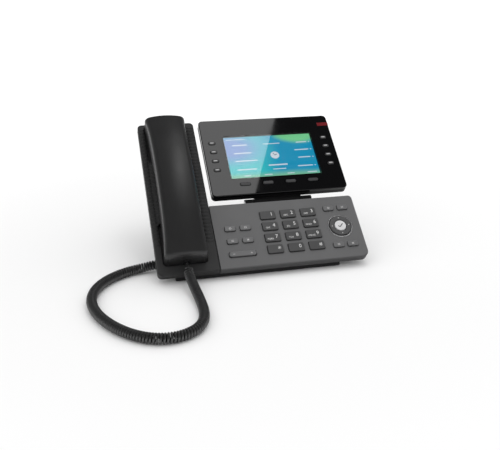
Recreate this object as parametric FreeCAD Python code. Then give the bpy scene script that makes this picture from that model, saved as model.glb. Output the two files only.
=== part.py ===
"""Desk telephone with a tilting display, a handset column and a curly handset cord."""

import FreeCAD, Part
import math
import os

# Driving dimensions, in millimetres and degrees

# Deck: the sloping top of the base, measured across, up the slope and out of its face
DECK_TILT = 38.0
DECK_WIDTH = 244.0
COLUMN_WIDTH = 69.0
COLUMN_LENGTH = 211.0
PANEL_LENGTH = 85.0
DECK_EDGE = 9.0
FRONT_HEIGHT = 13.0
WALL = 2.2
FIT_GAP = 0.35
COVER_SEAM = 0.4
COLUMN_CORNER = 5.0
PANEL_FRONT_CORNER = 8.0
PANEL_BACK_CORNER = 4.5
COVER_ROUND = 1.6

# Small allowances: a fuse runs into its neighbour, a cut runs past its face, a fitted piece slips in
ROOT = 0.5
PAST = 1.0
SLIP = 0.1
REST_GAP = 0.2

# Lower case and stand
PLATE_INSET = 1.5
TUB_INSET_LEFT = 20.0
TUB_INSET_RIGHT = 34.0
TUB_SETBACK = 3.0
TUB_DEPTH = 36.0
BACK_COVER_INSET = 6.0
BACK_COVER_DEPTH = 9.0
FOOT_HEIGHT = 1.2
FOOT_LENGTH = 16.0
FOOT_DEPTH = 8.0
FOOT_CORNER = 2.0
STAND_INSET = 22.0
STAND_WALL = 3.6
STAND_REACH = 132.0
STAND_TOE = 12.0

# Handset, lying in two wells of the column
HANDSET_LENGTH = 196.0
HANDSET_START = 11.0
HANDSET_ACROSS = 32.0
HANDSET_END_WIDTH = 49.0
HANDSET_GRIP_WIDTH = 43.0
HANDSET_END_TOP = 22.5
HANDSET_GRIP_TOP = 37.0
HANDSET_GRIP_UNDER = 14.0
HANDSET_POD_LENGTH = 38.0
HANDSET_CORNER = 5.0
HANDSET_TOP_ROUND = 7.0
HANDSET_END_ROUND = 4.0
HANDSET_CROWN = 70.0
HANDSET_UNDER_ROUND = 2.6
HANDSET_PART_LINE = 11.0
ARCH_SHAPE = 1.4
WAIST_SHAPE = 4
WELL_DEPTH = 5.6
WELL_CLEARANCE = 0.6
WELL_WALL = 1.8
RECEIVER_RADIUS = 13.5
RECEIVER_REACH = 22.0
RECEIVER_HEIGHT = 9.0
MICROPHONE_RADIUS = 5.0
MICROPHONE_HEIGHT = 6.0
MICROPHONE_REACH = 22.0
CAPSULE_GAP = 0.3
SOUND_HOLE_RADIUS = 1.2
SOUND_RING_RADIUS = 7.5
SOUND_RING_HOLES = 8
MICROPHONE_HOLE_PITCH = 3.0
END_TURNS = (0, 22, 42, 60, 76, 90)
HALF_SECTIONS = 9

# Keys of the panel: caps stand proud and their flanges lie under the panel wall
KEY_PROUD = 1.8
KEY_GAP = 0.55
KEY_FLANGE = 0.9
FLANGE_THICK = 1.0
KEY_SKIRT = 2.0
KEY_WALL = 1.2
KEY_TRAVEL = 1.1
KEY_CORNER = 1.6
KEY_EDGE = 0.6
ROUND_KEY_EDGE = 0.9
SMALL_KEY_EDGE = 0.36
ROUND_END = 0.95
DIAL_KEY = (18.0, 11.0)
DIAL_PITCH = (24.6, 15.2)
DIAL_BELOW_MIDDLE = 0.3
SIDE_KEY = (12.4, 6.4)
FEATURE_PITCH = (17.9, 16.6)
SIDE_BELOW_MIDDLE = 0.1
VOLUME_BAR = (31.0, 6.2)
VOLUME_SHIFT = 0.2
VOLUME_DROP = 25.4
NAV_KEY_PITCH = (17.2, 50.4)
NAV_RADIUS = 12.9
OK_RADIUS = 6.9
GROUP_GAPS = (12.45, 13.95, 10.9, 10.4)
ROCK_GAP = 0.6
ROCK_ROOM = 1.0
ROCKER_THICK = 0.8
ROCKER_PAD = 0.6
ROCKER_ARM = 1.6

# Key membrane and main board under the panel
BOARD_THICK = 1.6
MEMBRANE_THICK = 1.2
DOME_RADIUS = 2.2
DOME_TOP_RADIUS = 1.5
DOME_HEIGHT = 0.5
BOARD_MARGIN = 2.6
BOARD_ROOM = 0.8

# Display, its hinge and its keys, measured from the display's lower left front corner
DISPLAY_SIZE = (167.3, 114.7)
DISPLAY_SIDE = 5.6
DISPLAY_GAP = 10.0
DISPLAY_PROUD = 2.8
DISPLAY_THICK = 11.0
DISPLAY_FRAME_DEPTH = 4.0
DISPLAY_ROUND = 5.0
DISPLAY_EDGE = 0.9
SCREEN_SIZE = (110.7, 62.3)
SCREEN_CORNER = (27.9, 24.6)
LENS_MARGIN = 1.2
LENS_THICK = 1.2
LENS_CORNER = 0.5
LEDGE_GAP = 0.3
LCD_MARGIN = 3.6
LCD_THICK = 3.0
LCD_GAP = 0.6
DISPLAY_BOARD_CORNER = 1.0
LIGHT_SIZE = (14.6, 5.2)
LIGHT_UP = 97.6
LIGHT_DEPTH = 3.4
LINE_KEY = (8.0, 4.5)
LINE_KEY_INSET = 12.0
LINE_KEY_TOP = 78.4
LINE_KEY_PITCH = 13.6
SOFT_KEY = (12.5, 4.2)
SOFT_KEY_START = 42.2
SOFT_KEY_PITCH = 28.1
SOFT_KEY_UP = 14.7
DISPLAY_KEY_PROUD = 0.8
DISPLAY_KEY_TRAVEL = 0.7
SWITCH_HEIGHT = 0.9
HINGE_BARREL = 4.2
HINGE_PIN_RADIUS = 2.5
HINGE_SPAN = 82.0
HINGE_OFFSET = 3.4
HINGE_EAR = 12.0
HINGE_DROP = 9.0
HINGE_BACK = 5.3
HINGE_GAP = 0.4
PIN_FIT = 0.05
PIN_PLAY = 0.15

# Jacks: body and mouth sizes across, high and deep
NETWORK_JACK = (15.6, 13.4, 16.0)
NETWORK_MOUTH = (11.8, 8.2, 12.5)
SMALL_JACK = (10.6, 9.6, 14.0)
SMALL_MOUTH = (7.8, 6.8, 10.5)
JACK_SPACING = 22.0
JACK_SIDE = 60.0
JACK_DROP = 11.0
JACK_FIT = 0.15

# Loudspeaker and screws
SPEAKER_RADIUS = 20.0
SPEAKER_RIM = 3.6
SPEAKER_MAGNET_RADIUS = 11.0
SPEAKER_HEIGHT = 11.6
SLOT_COUNT = 7
SLOT_SIZE = (28.0, 2.0)
SLOT_PITCH = 4.2
SCREW_RADIUS = 1.25
SCREW_HEAD_RADIUS = 2.5
SCREW_HEAD = 1.6
SCREW_HEAD_ROUND = 0.64
SCREW_FIT = 0.05
BOSS_RADIUS = 3.0
BOSS_INSET = 7.0

# Curly cord: a round wire, its curls and the plugs at both ends
WIRE_DIAMETER = 3.0
CURL_RADIUS = 4.0
CURL_COUNT = 94
LEAD_LENGTH = 4.0
RAMP_LENGTH = 12.0
RISE_SHARE = 0.7
ARC_SHARE = 0.45
PLUG_SIZE = (7.6, 6.5, 11.5)
PLUG_UP = 5.8
PLUG_PROUD = 1.4
BASE_PLUG_PROUD = 7.0
BASE_PLUG_BACK = 41.5
BASE_PLUG_UP = 9.0
HANDSET_LEAD_RUN = 12.0
BASE_LEAD_RUN = 10.0

# Cord route on the desk, from the handset end to the base end: across from the deck's left edge,
# back from its front edge, up from the desk. Before and after it the cord runs straight out of its plugs.
ROUTE = [
    (33.9, -21.5, 9.9),
    (35.6, -41.0, 6.7),
    (36.2, -63.0, 5.7),
    (35.2, -84.0, 5.7),
    (30.0, -104.0, 5.7),
    (17.0, -119.0, 5.7),
    (-3.0, -125.5, 5.7),
    (-23.0, -121.0, 5.7),
    (-42.0, -106.0, 5.7),
    (-58.0, -83.0, 5.7),
    (-69.0, -56.0, 5.7),
    (-72.5, -28.0, 5.7),
    (-67.0, -2.0, 5.7),
    (-53.0, 20.0, 5.7),
    (-32.5, 36.0, 5.7),
    (-12.5, 42.3, 6.2),
]


def vec(x, y, z):
    """A point or direction."""
    return FreeCAD.Vector(x, y, z)


ACROSS = vec(1, 0, 0)
OUTWARD = vec(0, 0, 1)
DECK = FreeCAD.Placement(vec(0, 0, FRONT_HEIGHT), FreeCAD.Rotation(ACROSS, DECK_TILT))


def desk_point(across, up, out):
    """Where a point of the sloping deck lies, measured from the desk."""
    return DECK.multVec(vec(across, up, out))


def on_deck(shape):
    """Turn a shape drawn flat into its place on the slope."""
    placed = shape.copy()
    placed.Placement = DECK.multiply(placed.Placement)
    return placed


def moved(shape, across, up, out):
    """A copy of a shape shifted within its frame."""
    copy = shape.copy()
    copy.translate(vec(across, up, out))
    return copy


def block(x0, x1, y0, y1, z0, z1):
    """A square-edged block between two corners."""
    return Part.makeBox(x1 - x0, y1 - y0, z1 - z0, vec(x0, y0, z0))


def disc(x, y, z0, z1, radius):
    """An upright cylinder between two heights."""
    return Part.makeCylinder(radius, z1 - z0, vec(x, y, z0), OUTWARD)


def plate(x0, x1, y0, y1, z0, z1, corners):
    """A block with rounded upright corners: front left, front right, back right, back left."""
    whole = block(x0, x1, y0, y1, z0, z1)
    places = [(x0, y0), (x1, y0), (x1, y1), (x0, y1)]
    for (x, y), radius in zip(places, corners):
        if radius > 0:
            edges = [e for e in whole.Edges if upright_at(e, x, y)]
            whole = whole.makeFillet(radius, edges)
    return whole


def upright_at(edge, x, y):
    """True for a straight upright edge that stands at a corner."""
    return all(abs(p.Point.x - x) < 1e-6 and abs(p.Point.y - y) < 1e-6 for p in edge.Vertexes)


def edges_at_height(shape, z):
    """Edges that lie wholly in one level plane."""
    return [e for e in shape.Edges if abs(e.BoundBox.ZMin - z) < 1e-4 and abs(e.BoundBox.ZMax - z) < 1e-4]


def prism(outline, x0, x1):
    """An outline of (back, up) points carried across from x0 to x1."""
    points = [vec(x0, y, z) for y, z in outline]
    face = Part.Face(Part.makePolygon(points + points[:1]))
    return face.extrude(vec(x1 - x0, 0, 0))


def one_solid(shape):
    """The single solid of a finished boolean."""
    return shape.removeSplitter().Solids[0]


def smooth(share):
    """A ramp from 0 to 1 with level ends, and its slope."""
    share = min(max(share, 0.0), 1.0)
    return share * share * (3 - 2 * share), 6 * share * (1 - share)


# Levels below the deck face, shared by the covers, keys, membrane and board
PANEL_UNDER = -WALL
FLANGE_TOP = PANEL_UNDER - REST_GAP
PLATE_TOP = -DECK_EDGE
PLATE_UNDER = -DECK_EDGE - WALL
BOARD_UNDER = PLATE_TOP + BOARD_ROOM
BOARD_TOP = BOARD_UNDER + BOARD_THICK
MEMBRANE_TOP = BOARD_TOP + MEMBRANE_THICK
SKIRT_UNDER = PANEL_UNDER - KEY_SKIRT
PANEL_LEFT = COLUMN_WIDTH + COVER_SEAM / 2
HANDSET_END = HANDSET_START + HANDSET_LENGTH
HANDSET_MIDDLE = HANDSET_START + HANDSET_LENGTH / 2
HANDSET_UNDER = WELL_CLEARANCE - WELL_DEPTH

# Three groups of keys stand side by side on the panel: what they leave free is spread over four gaps
FEATURE_WIDTH = FEATURE_PITCH[0] + SIDE_KEY[0]
DIAL_WIDTH = 2 * DIAL_PITCH[0] + DIAL_KEY[0]
NAV_WIDTH = NAV_KEY_PITCH[0] + SIDE_KEY[0]
GAP_SCALE = (DECK_WIDTH - PANEL_LEFT - FEATURE_WIDTH - DIAL_WIDTH - NAV_WIDTH) / sum(GROUP_GAPS)
FEATURE_ACROSS = PANEL_LEFT + GAP_SCALE * GROUP_GAPS[0] + FEATURE_WIDTH / 2
DIAL_ACROSS = FEATURE_ACROSS + FEATURE_WIDTH / 2 + GAP_SCALE * GROUP_GAPS[1] + DIAL_WIDTH / 2
NAV_ACROSS = DIAL_ACROSS + DIAL_WIDTH / 2 + GAP_SCALE * GROUP_GAPS[2] + NAV_WIDTH / 2
SIDE_UP = PANEL_LENGTH / 2 - SIDE_BELOW_MIDDLE
FEATURE_CENTRE = (FEATURE_ACROSS, SIDE_UP)
DIAL_CENTRE = (DIAL_ACROSS, PANEL_LENGTH / 2 - DIAL_BELOW_MIDDLE)
NAV_CENTRE = (NAV_ACROSS, SIDE_UP)
VOLUME_CENTRE = (FEATURE_ACROSS - VOLUME_SHIFT, SIDE_UP - VOLUME_DROP)
DISPLAY_CORNER = (PANEL_LEFT + DISPLAY_SIDE, PANEL_LENGTH + DISPLAY_GAP)


def handset_under(reach):
    """Height of the handset's underside over the deck at a distance from its nearer end."""
    span = HANDSET_LENGTH / 2 - HANDSET_POD_LENGTH
    arched, slope = smooth(1 - ((HANDSET_LENGTH / 2 - reach) / span) ** ARCH_SHAPE)
    return HANDSET_UNDER + (HANDSET_GRIP_UNDER - HANDSET_UNDER) * arched


def well_length():
    """Distance from a handset end to where its underside has risen clear of the deck."""
    reach = HANDSET_POD_LENGTH
    while handset_under(reach) < WELL_CLEARANCE:
        reach += WELL_CLEARANCE
    return reach


WELL_LENGTH = well_length()


def grid_places(centre, pitch, columns, rows):
    """Places of a centred grid, row by row from the back, each row from the left."""
    places = []
    for row in range(rows):
        for column in range(columns):
            across = centre[0] + (column - (columns - 1) / 2) * pitch[0]
            up = centre[1] + ((rows - 1) / 2 - row) * pitch[1]
            places.append((across, up))
    return places


DIAL_NAMES = ["1", "2", "3", "4", "5", "6", "7", "8", "9", "star", "0", "hash"]
DIAL_PLACES = grid_places(DIAL_CENTRE, DIAL_PITCH, 3, 4)
FEATURE_PLACES = grid_places(FEATURE_CENTRE, FEATURE_PITCH, 2, 2)
CORNER_NAMES = ["upper_left", "upper_right", "lower_left", "lower_right"]
CORNER_PLACES = grid_places(NAV_CENTRE, NAV_KEY_PITCH, 2, 2)
BOSS_PLACES = [
    (DECK_WIDTH - BOSS_INSET, BOSS_INSET),
    (DECK_WIDTH - BOSS_INSET, PANEL_LENGTH - BOSS_INSET),
]
COLUMN_BOSS_PLACES = [
    (BOSS_INSET + BOSS_RADIUS, PANEL_LENGTH - BOSS_INSET),
    (BOSS_INSET + BOSS_RADIUS, HANDSET_END - WELL_LENGTH - BOSS_INSET),
    (COLUMN_WIDTH - BOSS_INSET - BOSS_RADIUS, HANDSET_END - WELL_LENGTH - BOSS_INSET),
]


def cover(left, right, back, corners, sharp_side):
    """A deck moulding: a thin tray face up with rounded outer edges and an open underside."""
    body = plate(left, right, 0, back, -DECK_EDGE, 0, corners)
    top = [e for e in edges_at_height(body, 0) if abs(e.CenterOfMass.x - sharp_side) > 1e-3]
    body = body.makeFillet(COVER_ROUND, top)
    room = plate(left + WALL, right - WALL, WALL, back - WALL, -DECK_EDGE - PAST, PANEL_UNDER,
                 [max(radius - WALL, 0) for radius in corners])
    return body.cut(room)


def well(start, end, grow, top, under):
    """The space that one handset end lies in, grown by a wall where asked."""
    half = HANDSET_END_WIDTH / 2 + WELL_CLEARANCE + grow
    corner = HANDSET_CORNER + grow
    return plate(HANDSET_ACROSS - half, HANDSET_ACROSS + half, start - WELL_CLEARANCE - grow,
                 end + WELL_CLEARANCE + grow, under, top, [corner] * 4)


def boss(place):
    """A screw post under a cover, with its pilot hole."""
    post = disc(place[0], place[1], PLATE_TOP, PANEL_UNDER + ROOT, BOSS_RADIUS)
    return post.cut(disc(place[0], place[1], PLATE_TOP, PANEL_UNDER, SCREW_RADIUS))


def cradle_cover():
    """Column top: two wells for the handset ends and the loudspeaker slots between them."""
    corners = [COLUMN_CORNER, 0, COLUMN_CORNER, COLUMN_CORNER]
    right = COLUMN_WIDTH - COVER_SEAM / 2
    shell = cover(0, right, COLUMN_LENGTH, corners, right)
    spans = [
        (HANDSET_START, HANDSET_START + WELL_LENGTH),
        (HANDSET_END - WELL_LENGTH, HANDSET_END),
    ]
    for start, end in spans:
        shell = shell.fuse(well(start, end, WELL_WALL, PANEL_UNDER + ROOT, -WELL_DEPTH - WALL))
    for start, end in spans:
        shell = shell.cut(well(start, end, 0, PAST, -WELL_DEPTH))
    for place in COLUMN_BOSS_PLACES:
        shell = shell.fuse(boss(place))
    for index in range(SLOT_COUNT):
        up = HANDSET_MIDDLE + (index - (SLOT_COUNT - 1) / 2) * SLOT_PITCH
        slot = block(HANDSET_ACROSS - SLOT_SIZE[0] / 2, HANDSET_ACROSS + SLOT_SIZE[0] / 2,
                     up - SLOT_SIZE[1] / 2, up + SLOT_SIZE[1] / 2, PANEL_UNDER - PAST, PAST)
        shell = shell.cut(slot)
    return one_solid(shell)


def key_window(place, size, grow=KEY_GAP):
    """The opening that a key of the panel passes through."""
    half_across = size[0] / 2 + grow
    half_up = size[1] / 2 + grow
    return plate(place[0] - half_across, place[0] + half_across, place[1] - half_up, place[1] + half_up,
                 PANEL_UNDER - PAST, PAST, [KEY_CORNER + grow] * 4)


def keypad_fascia():
    """Grey panel with an opening for each key and two screw posts."""
    corners = [0, PANEL_FRONT_CORNER, PANEL_BACK_CORNER, 0]
    shell = cover(PANEL_LEFT, DECK_WIDTH, PANEL_LENGTH, corners, PANEL_LEFT)
    for place in DIAL_PLACES:
        shell = shell.cut(key_window(place, DIAL_KEY))
    for place in FEATURE_PLACES + CORNER_PLACES:
        shell = shell.cut(key_window(place, SIDE_KEY))
    shell = shell.cut(key_window(VOLUME_CENTRE, VOLUME_BAR, ROCK_GAP))
    shell = shell.cut(disc(NAV_CENTRE[0], NAV_CENTRE[1], PANEL_UNDER - PAST, PAST, NAV_RADIUS + ROCK_GAP))
    for place in BOSS_PLACES:
        shell = shell.fuse(boss(place))
    return one_solid(shell)


def panel_key(place, size):
    """A moulded key: rounded cap, flange under the panel wall, hollow skirt and a middle post."""
    across, up = size[0] / 2, size[1] / 2
    cap = plate(-across, across, -up, up, SKIRT_UNDER, KEY_PROUD, [KEY_CORNER] * 4)
    cap = cap.makeFillet(KEY_EDGE, edges_at_height(cap, KEY_PROUD))
    flange = plate(-across - KEY_FLANGE, across + KEY_FLANGE, -up - KEY_FLANGE, up + KEY_FLANGE,
                   FLANGE_TOP - FLANGE_THICK, FLANGE_TOP, [KEY_CORNER] * 4)
    room = plate(-across + KEY_WALL, across - KEY_WALL, -up + KEY_WALL, up - KEY_WALL,
                 SKIRT_UNDER - PAST, KEY_PROUD - KEY_WALL, [KEY_CORNER / 2] * 4)
    post_under = MEMBRANE_TOP + DOME_HEIGHT + KEY_TRAVEL + SLIP
    post = disc(0, 0, post_under, KEY_PROUD - KEY_WALL + ROOT, KEY_WALL)
    key = one_solid(cap.fuse(flange).cut(room).fuse(post))
    return moved(key, place[0], place[1], 0)


def volume_bar():
    """Long rocking key: its flange hangs lower, so either end can dip."""
    across, up = VOLUME_BAR[0] / 2, VOLUME_BAR[1] / 2
    cap = plate(-across, across, -up, up, SKIRT_UNDER, KEY_PROUD, [up * ROUND_END] * 4)
    cap = cap.makeFillet(KEY_EDGE, edges_at_height(cap, KEY_PROUD))
    flange = plate(-across - KEY_FLANGE, across + KEY_FLANGE, -up - KEY_FLANGE, up + KEY_FLANGE,
                   SKIRT_UNDER, PANEL_UNDER - ROCK_ROOM, [KEY_CORNER] * 4)
    room = plate(-across + KEY_WALL, across - KEY_WALL, -up + KEY_WALL, up - KEY_WALL,
                 SKIRT_UNDER - PAST, KEY_PROUD - KEY_WALL, [KEY_CORNER / 2] * 4)
    bar = one_solid(cap.fuse(flange).cut(room))
    return moved(bar, VOLUME_CENTRE[0], VOLUME_CENTRE[1], 0)


RING_UNDER = PANEL_UNDER - ROCK_ROOM - KEY_FLANGE
ROCKER_TOP = RING_UNDER - SLIP
ROCKER_STEP = ROCKER_TOP - ROCKER_PAD
RING_BORE = OK_RADIUS + ROCK_GAP


def nav_ring():
    """Four-way ring: a flange below the panel wall and a gently rounded top."""
    ring = disc(0, 0, RING_UNDER, KEY_PROUD, NAV_RADIUS)
    ring = ring.cut(disc(0, 0, RING_UNDER - PAST, KEY_PROUD + PAST, RING_BORE))
    ring = ring.makeFillet(ROUND_KEY_EDGE, edges_at_height(ring, KEY_PROUD))
    flange = disc(0, 0, RING_UNDER, RING_UNDER + KEY_FLANGE, NAV_RADIUS + KEY_FLANGE)
    flange = flange.cut(disc(0, 0, RING_UNDER - PAST, KEY_PROUD, RING_BORE))
    return moved(one_solid(ring.fuse(flange)), NAV_CENTRE[0], NAV_CENTRE[1], 0)


def nav_rocker():
    """Gimbal under the ring: two pads carry the ring and two arms carry the gimbal itself."""
    under = ROCKER_STEP - ROCKER_THICK
    outer = NAV_RADIUS - ROCK_GAP
    arm = ROCKER_ARM
    rocker = disc(0, 0, under, ROCKER_STEP, outer)
    reach = NAV_RADIUS + KEY_FLANGE - FIT_GAP
    rocker = rocker.fuse(block(-reach, reach, -arm, arm, under, ROCKER_STEP))
    rocker = rocker.fuse(block(-arm, arm, ROCK_GAP - outer, outer - ROCK_GAP, ROCKER_STEP, ROCKER_TOP))
    rocker = rocker.cut(disc(0, 0, under - PAST, ROCKER_TOP + PAST, RING_BORE + ROCK_GAP))
    return moved(one_solid(rocker), NAV_CENTRE[0], NAV_CENTRE[1], 0)


def ok_key():
    """Round middle key with a domed edge."""
    cap = disc(0, 0, SKIRT_UNDER, KEY_PROUD, OK_RADIUS)
    cap = cap.makeFillet(ROUND_KEY_EDGE, edges_at_height(cap, KEY_PROUD))
    cap = cap.cut(disc(0, 0, SKIRT_UNDER - PAST, KEY_PROUD - KEY_WALL, OK_RADIUS - KEY_WALL))
    return moved(one_solid(cap), NAV_CENTRE[0], NAV_CENTRE[1], 0)


def main_board():
    """Circuit board that fills the panel, with holes round the screw posts."""
    board = block(PANEL_LEFT + BOARD_MARGIN, DECK_WIDTH - BOARD_MARGIN, BOARD_MARGIN,
                  PANEL_LENGTH - BOARD_MARGIN, BOARD_UNDER, BOARD_TOP)
    return one_solid(board.cut(post_holes()).cut(outer_corners(BOARD_UNDER, BOARD_TOP)))


def post_holes():
    """Clearance round the panel's screw posts."""
    return Part.makeCompound([disc(u, v, -DECK_EDGE, 0, BOSS_RADIUS + FIT_GAP) for u, v in BOSS_PLACES])


def outer_corners(under, top):
    """What a square sheet loses at the panel's two rounded right-hand corners."""
    square = block(PANEL_LEFT, DECK_WIDTH, 0, PANEL_LENGTH, under, top)
    rounded = plate(PANEL_LEFT, DECK_WIDTH - WALL - FIT_GAP, WALL + FIT_GAP, PANEL_LENGTH - WALL - FIT_GAP,
                    under, top, [0, PANEL_FRONT_CORNER - WALL, PANEL_BACK_CORNER - WALL, 0])
    return square.cut(rounded)


def key_membrane():
    """Silicone sheet on the board with a dome under each key and a round opening for the ring."""
    sheet = block(PANEL_LEFT + BOARD_MARGIN, DECK_WIDTH - BOARD_MARGIN, BOARD_MARGIN,
                  PANEL_LENGTH - BOARD_MARGIN, BOARD_TOP, MEMBRANE_TOP)
    sheet = sheet.cut(post_holes()).cut(outer_corners(BOARD_TOP, MEMBRANE_TOP))
    sheet = sheet.cut(disc(NAV_CENTRE[0], NAV_CENTRE[1], BOARD_TOP - PAST, 0, NAV_RADIUS + KEY_FLANGE))
    for across, up in DIAL_PLACES + FEATURE_PLACES + CORNER_PLACES:
        dome = Part.makeCone(DOME_RADIUS, DOME_TOP_RADIUS, DOME_HEIGHT, vec(across, up, MEMBRANE_TOP))
        sheet = sheet.fuse(dome)
    return one_solid(sheet)


# Lower case, drawn in level desk coordinates
TUB_LEFT = TUB_INSET_LEFT
TUB_RIGHT = DECK_WIDTH - TUB_INSET_RIGHT
TUB_FRONT = desk_point(0, TUB_SETBACK, PLATE_TOP)
TUB_BACK = desk_point(0, PANEL_LENGTH - TUB_SETBACK, PLATE_TOP)
SLOPE = math.radians(DECK_TILT)


def up_at(back, out):
    """Height above the desk of the plane that lies out from the deck face, at a distance back."""
    return FRONT_HEIGHT + (back * math.sin(SLOPE) + out) / math.cos(SLOPE)


def back_at(up, out):
    """Distance back at which that plane reaches a height."""
    return ((up - FRONT_HEIGHT) * math.cos(SLOPE) - out) / math.sin(SLOPE)


def tub_outline(grow, rise):
    """Side outline of the lower case, shrunk by a wall and opened upwards for its inside."""
    front = TUB_FRONT.y + grow
    back = TUB_BACK.y - grow
    floor = FOOT_HEIGHT + grow
    out = -TUB_DEPTH + grow
    return [
        (front, TUB_FRONT.z + rise),
        (front, floor),
        (back_at(floor, out), floor),
        (back, up_at(back, out)),
        (back, TUB_BACK.z + rise),
    ]


JACK_LEVEL = TUB_BACK.z - WALL - JACK_DROP - NETWORK_JACK[1] / 2
JACK_NAMES = ["network", "computer", "headset"]
JACK_FIRST = TUB_LEFT + JACK_SIDE


def jack_places():
    """Name, sizes and middle of each jack mouth in the rear wall."""
    places = []
    for index, name in enumerate(JACK_NAMES):
        sizes = (SMALL_JACK, SMALL_MOUTH) if name == "headset" else (NETWORK_JACK, NETWORK_MOUTH)
        places.append((name, sizes, JACK_FIRST + index * JACK_SPACING))
    return places


def rear_jack(across, body, mouth):
    """A jack that faces the back, flush with the rear wall."""
    shell = block(across - body[0] / 2, across + body[0] / 2, TUB_BACK.y - body[2], TUB_BACK.y,
                  JACK_LEVEL - body[1] / 2, JACK_LEVEL + body[1] / 2)
    hole = block(across - mouth[0] / 2, across + mouth[0] / 2, TUB_BACK.y - mouth[2], TUB_BACK.y + PAST,
                 JACK_LEVEL - mouth[1] / 2, JACK_LEVEL + mouth[1] / 2)
    return shell.cut(hole)


def handset_jack(grow):
    """Body of the jack in the left wall of the lower case."""
    return block(TUB_LEFT, TUB_LEFT + SMALL_JACK[2] + grow, BASE_PLUG_BACK - SMALL_JACK[0] / 2 - grow,
                 BASE_PLUG_BACK + SMALL_JACK[0] / 2 + grow, BASE_PLUG_UP - SMALL_JACK[1] / 2 - grow,
                 BASE_PLUG_UP + SMALL_JACK[1] / 2 + grow)


def base_plug(grow):
    """Plug of the cord at the base, half inside its jack."""
    return block(TUB_LEFT - BASE_PLUG_PROUD, TUB_LEFT - BASE_PLUG_PROUD + PLUG_SIZE[2] + grow,
                 BASE_PLUG_BACK - PLUG_SIZE[0] / 2 - grow, BASE_PLUG_BACK + PLUG_SIZE[0] / 2 + grow,
                 BASE_PLUG_UP - PLUG_SIZE[1] / 2 - grow, BASE_PLUG_UP + PLUG_SIZE[1] / 2 + grow)


def jack_block():
    """Three jacks in the rear wall and the handset jack in the left wall."""
    jacks = [rear_jack(across, sizes[0], sizes[1]) for name, sizes, across in jack_places()]
    jacks.append(handset_jack(0).cut(base_plug(JACK_FIT)))
    return Part.makeCompound(jacks)


HINGE_UP = PANEL_LENGTH + HINGE_BACK
HINGE_OUT = -HINGE_DROP
HINGE_MIDDLE = DISPLAY_CORNER[0] + DISPLAY_SIZE[0] / 2 - HINGE_OFFSET
EAR_STARTS = [HINGE_MIDDLE - HINGE_SPAN / 2, HINGE_MIDDLE + HINGE_SPAN / 2 - HINGE_EAR]


def barrel(start, length, radius):
    """A round stretch along the hinge axis."""
    return Part.makeCylinder(radius, length, vec(start, HINGE_UP, HINGE_OUT), ACROSS)


def hinge_ears():
    """Two ears behind the panel that hold the hinge pin."""
    ears = []
    for start in EAR_STARTS:
        web = block(start, start + HINGE_EAR, PANEL_LENGTH - 2 * TUB_SETBACK, HINGE_UP,
                    HINGE_OUT - HINGE_BARREL, PLATE_TOP - COVER_SEAM / 2)
        ear = web.fuse(barrel(start, HINGE_EAR, HINGE_BARREL))
        ears.append(ear.cut(barrel(start - PAST, HINGE_EAR + 2 * PAST, HINGE_PIN_RADIUS + PIN_FIT)))
    return ears


def base_bottom_shell():
    """Lower case: a plate that closes the deck, a deep tub, jack openings and hinge ears."""
    edge = PLATE_INSET
    corners = [max(COLUMN_CORNER - edge, 0), PANEL_FRONT_CORNER - edge, PANEL_BACK_CORNER - edge, 0]
    lid = plate(edge, DECK_WIDTH - edge, edge, PANEL_LENGTH - edge, PLATE_UNDER, PLATE_TOP, corners)
    case = on_deck(lid).fuse(prism(tub_outline(0, 0), TUB_LEFT, TUB_RIGHT))
    case = case.cut(prism(tub_outline(WALL, DECK_EDGE), TUB_LEFT + WALL, TUB_RIGHT - WALL))
    for name, sizes, across in jack_places():
        body = sizes[0]
        case = case.cut(block(across - body[0] / 2 - JACK_FIT, across + body[0] / 2 + JACK_FIT,
                              TUB_BACK.y - 2 * WALL, TUB_BACK.y + PAST,
                              JACK_LEVEL - body[1] / 2 - JACK_FIT, JACK_LEVEL + body[1] / 2 + JACK_FIT))
    case = case.cut(handset_jack(JACK_FIT)).cut(moved(handset_jack(JACK_FIT), -PAST, 0, 0))
    for ear in hinge_ears():
        case = case.fuse(on_deck(ear))
    for across, up in BOSS_PLACES + COLUMN_BOSS_PLACES[:1]:
        hole = disc(across, up, PLATE_UNDER - PAST, PLATE_TOP + PAST, SCREW_RADIUS + FIT_GAP)
        case = case.cut(on_deck(hole))
    return one_solid(case)


def column_back_cover():
    """Cover behind the raised part of the column, with room for the loudspeaker."""
    edge = PLATE_INSET
    start = PANEL_LENGTH - edge + COVER_SEAM
    right = COLUMN_WIDTH - COVER_SEAM / 2
    corner = COLUMN_CORNER - edge
    lid = plate(edge, right - edge, start, COLUMN_LENGTH - edge, PLATE_UNDER, PLATE_TOP,
                [0, 0, corner, corner])
    inset = BACK_COVER_INSET
    under = PLATE_TOP - BACK_COVER_DEPTH
    hull = plate(inset, right - inset, start, COLUMN_LENGTH - inset, under, PLATE_TOP,
                 [0, 0, COLUMN_CORNER, COLUMN_CORNER])
    hull = hull.makeFillet(COVER_ROUND, edges_at_height(hull, under))
    room = block(inset + WALL, right - inset - WALL, start + WALL, COLUMN_LENGTH - inset - WALL,
                 under + WALL, PLATE_TOP + PAST)
    shell = lid.fuse(hull).cut(room)
    for across, up in COLUMN_BOSS_PLACES[1:]:
        shell = shell.fuse(disc(across, up, under + ROOT, PLATE_TOP, BOSS_RADIUS))
        shell = shell.cut(disc(across, up, under - PAST, PLATE_TOP + PAST, SCREW_RADIUS + FIT_GAP))
    return one_solid(shell)


def screw(place, under):
    """A pan-head screw that reaches from its seat into a screw post."""
    shank = disc(place[0], place[1], under - ROOT, PANEL_UNDER - PAST, SCREW_RADIUS - SCREW_FIT)
    head = disc(place[0], place[1], under - SCREW_HEAD, under, SCREW_HEAD_RADIUS)
    head = head.makeFillet(SCREW_HEAD_ROUND, edges_at_height(head, under - SCREW_HEAD))
    return head.fuse(shank).removeSplitter()


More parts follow.
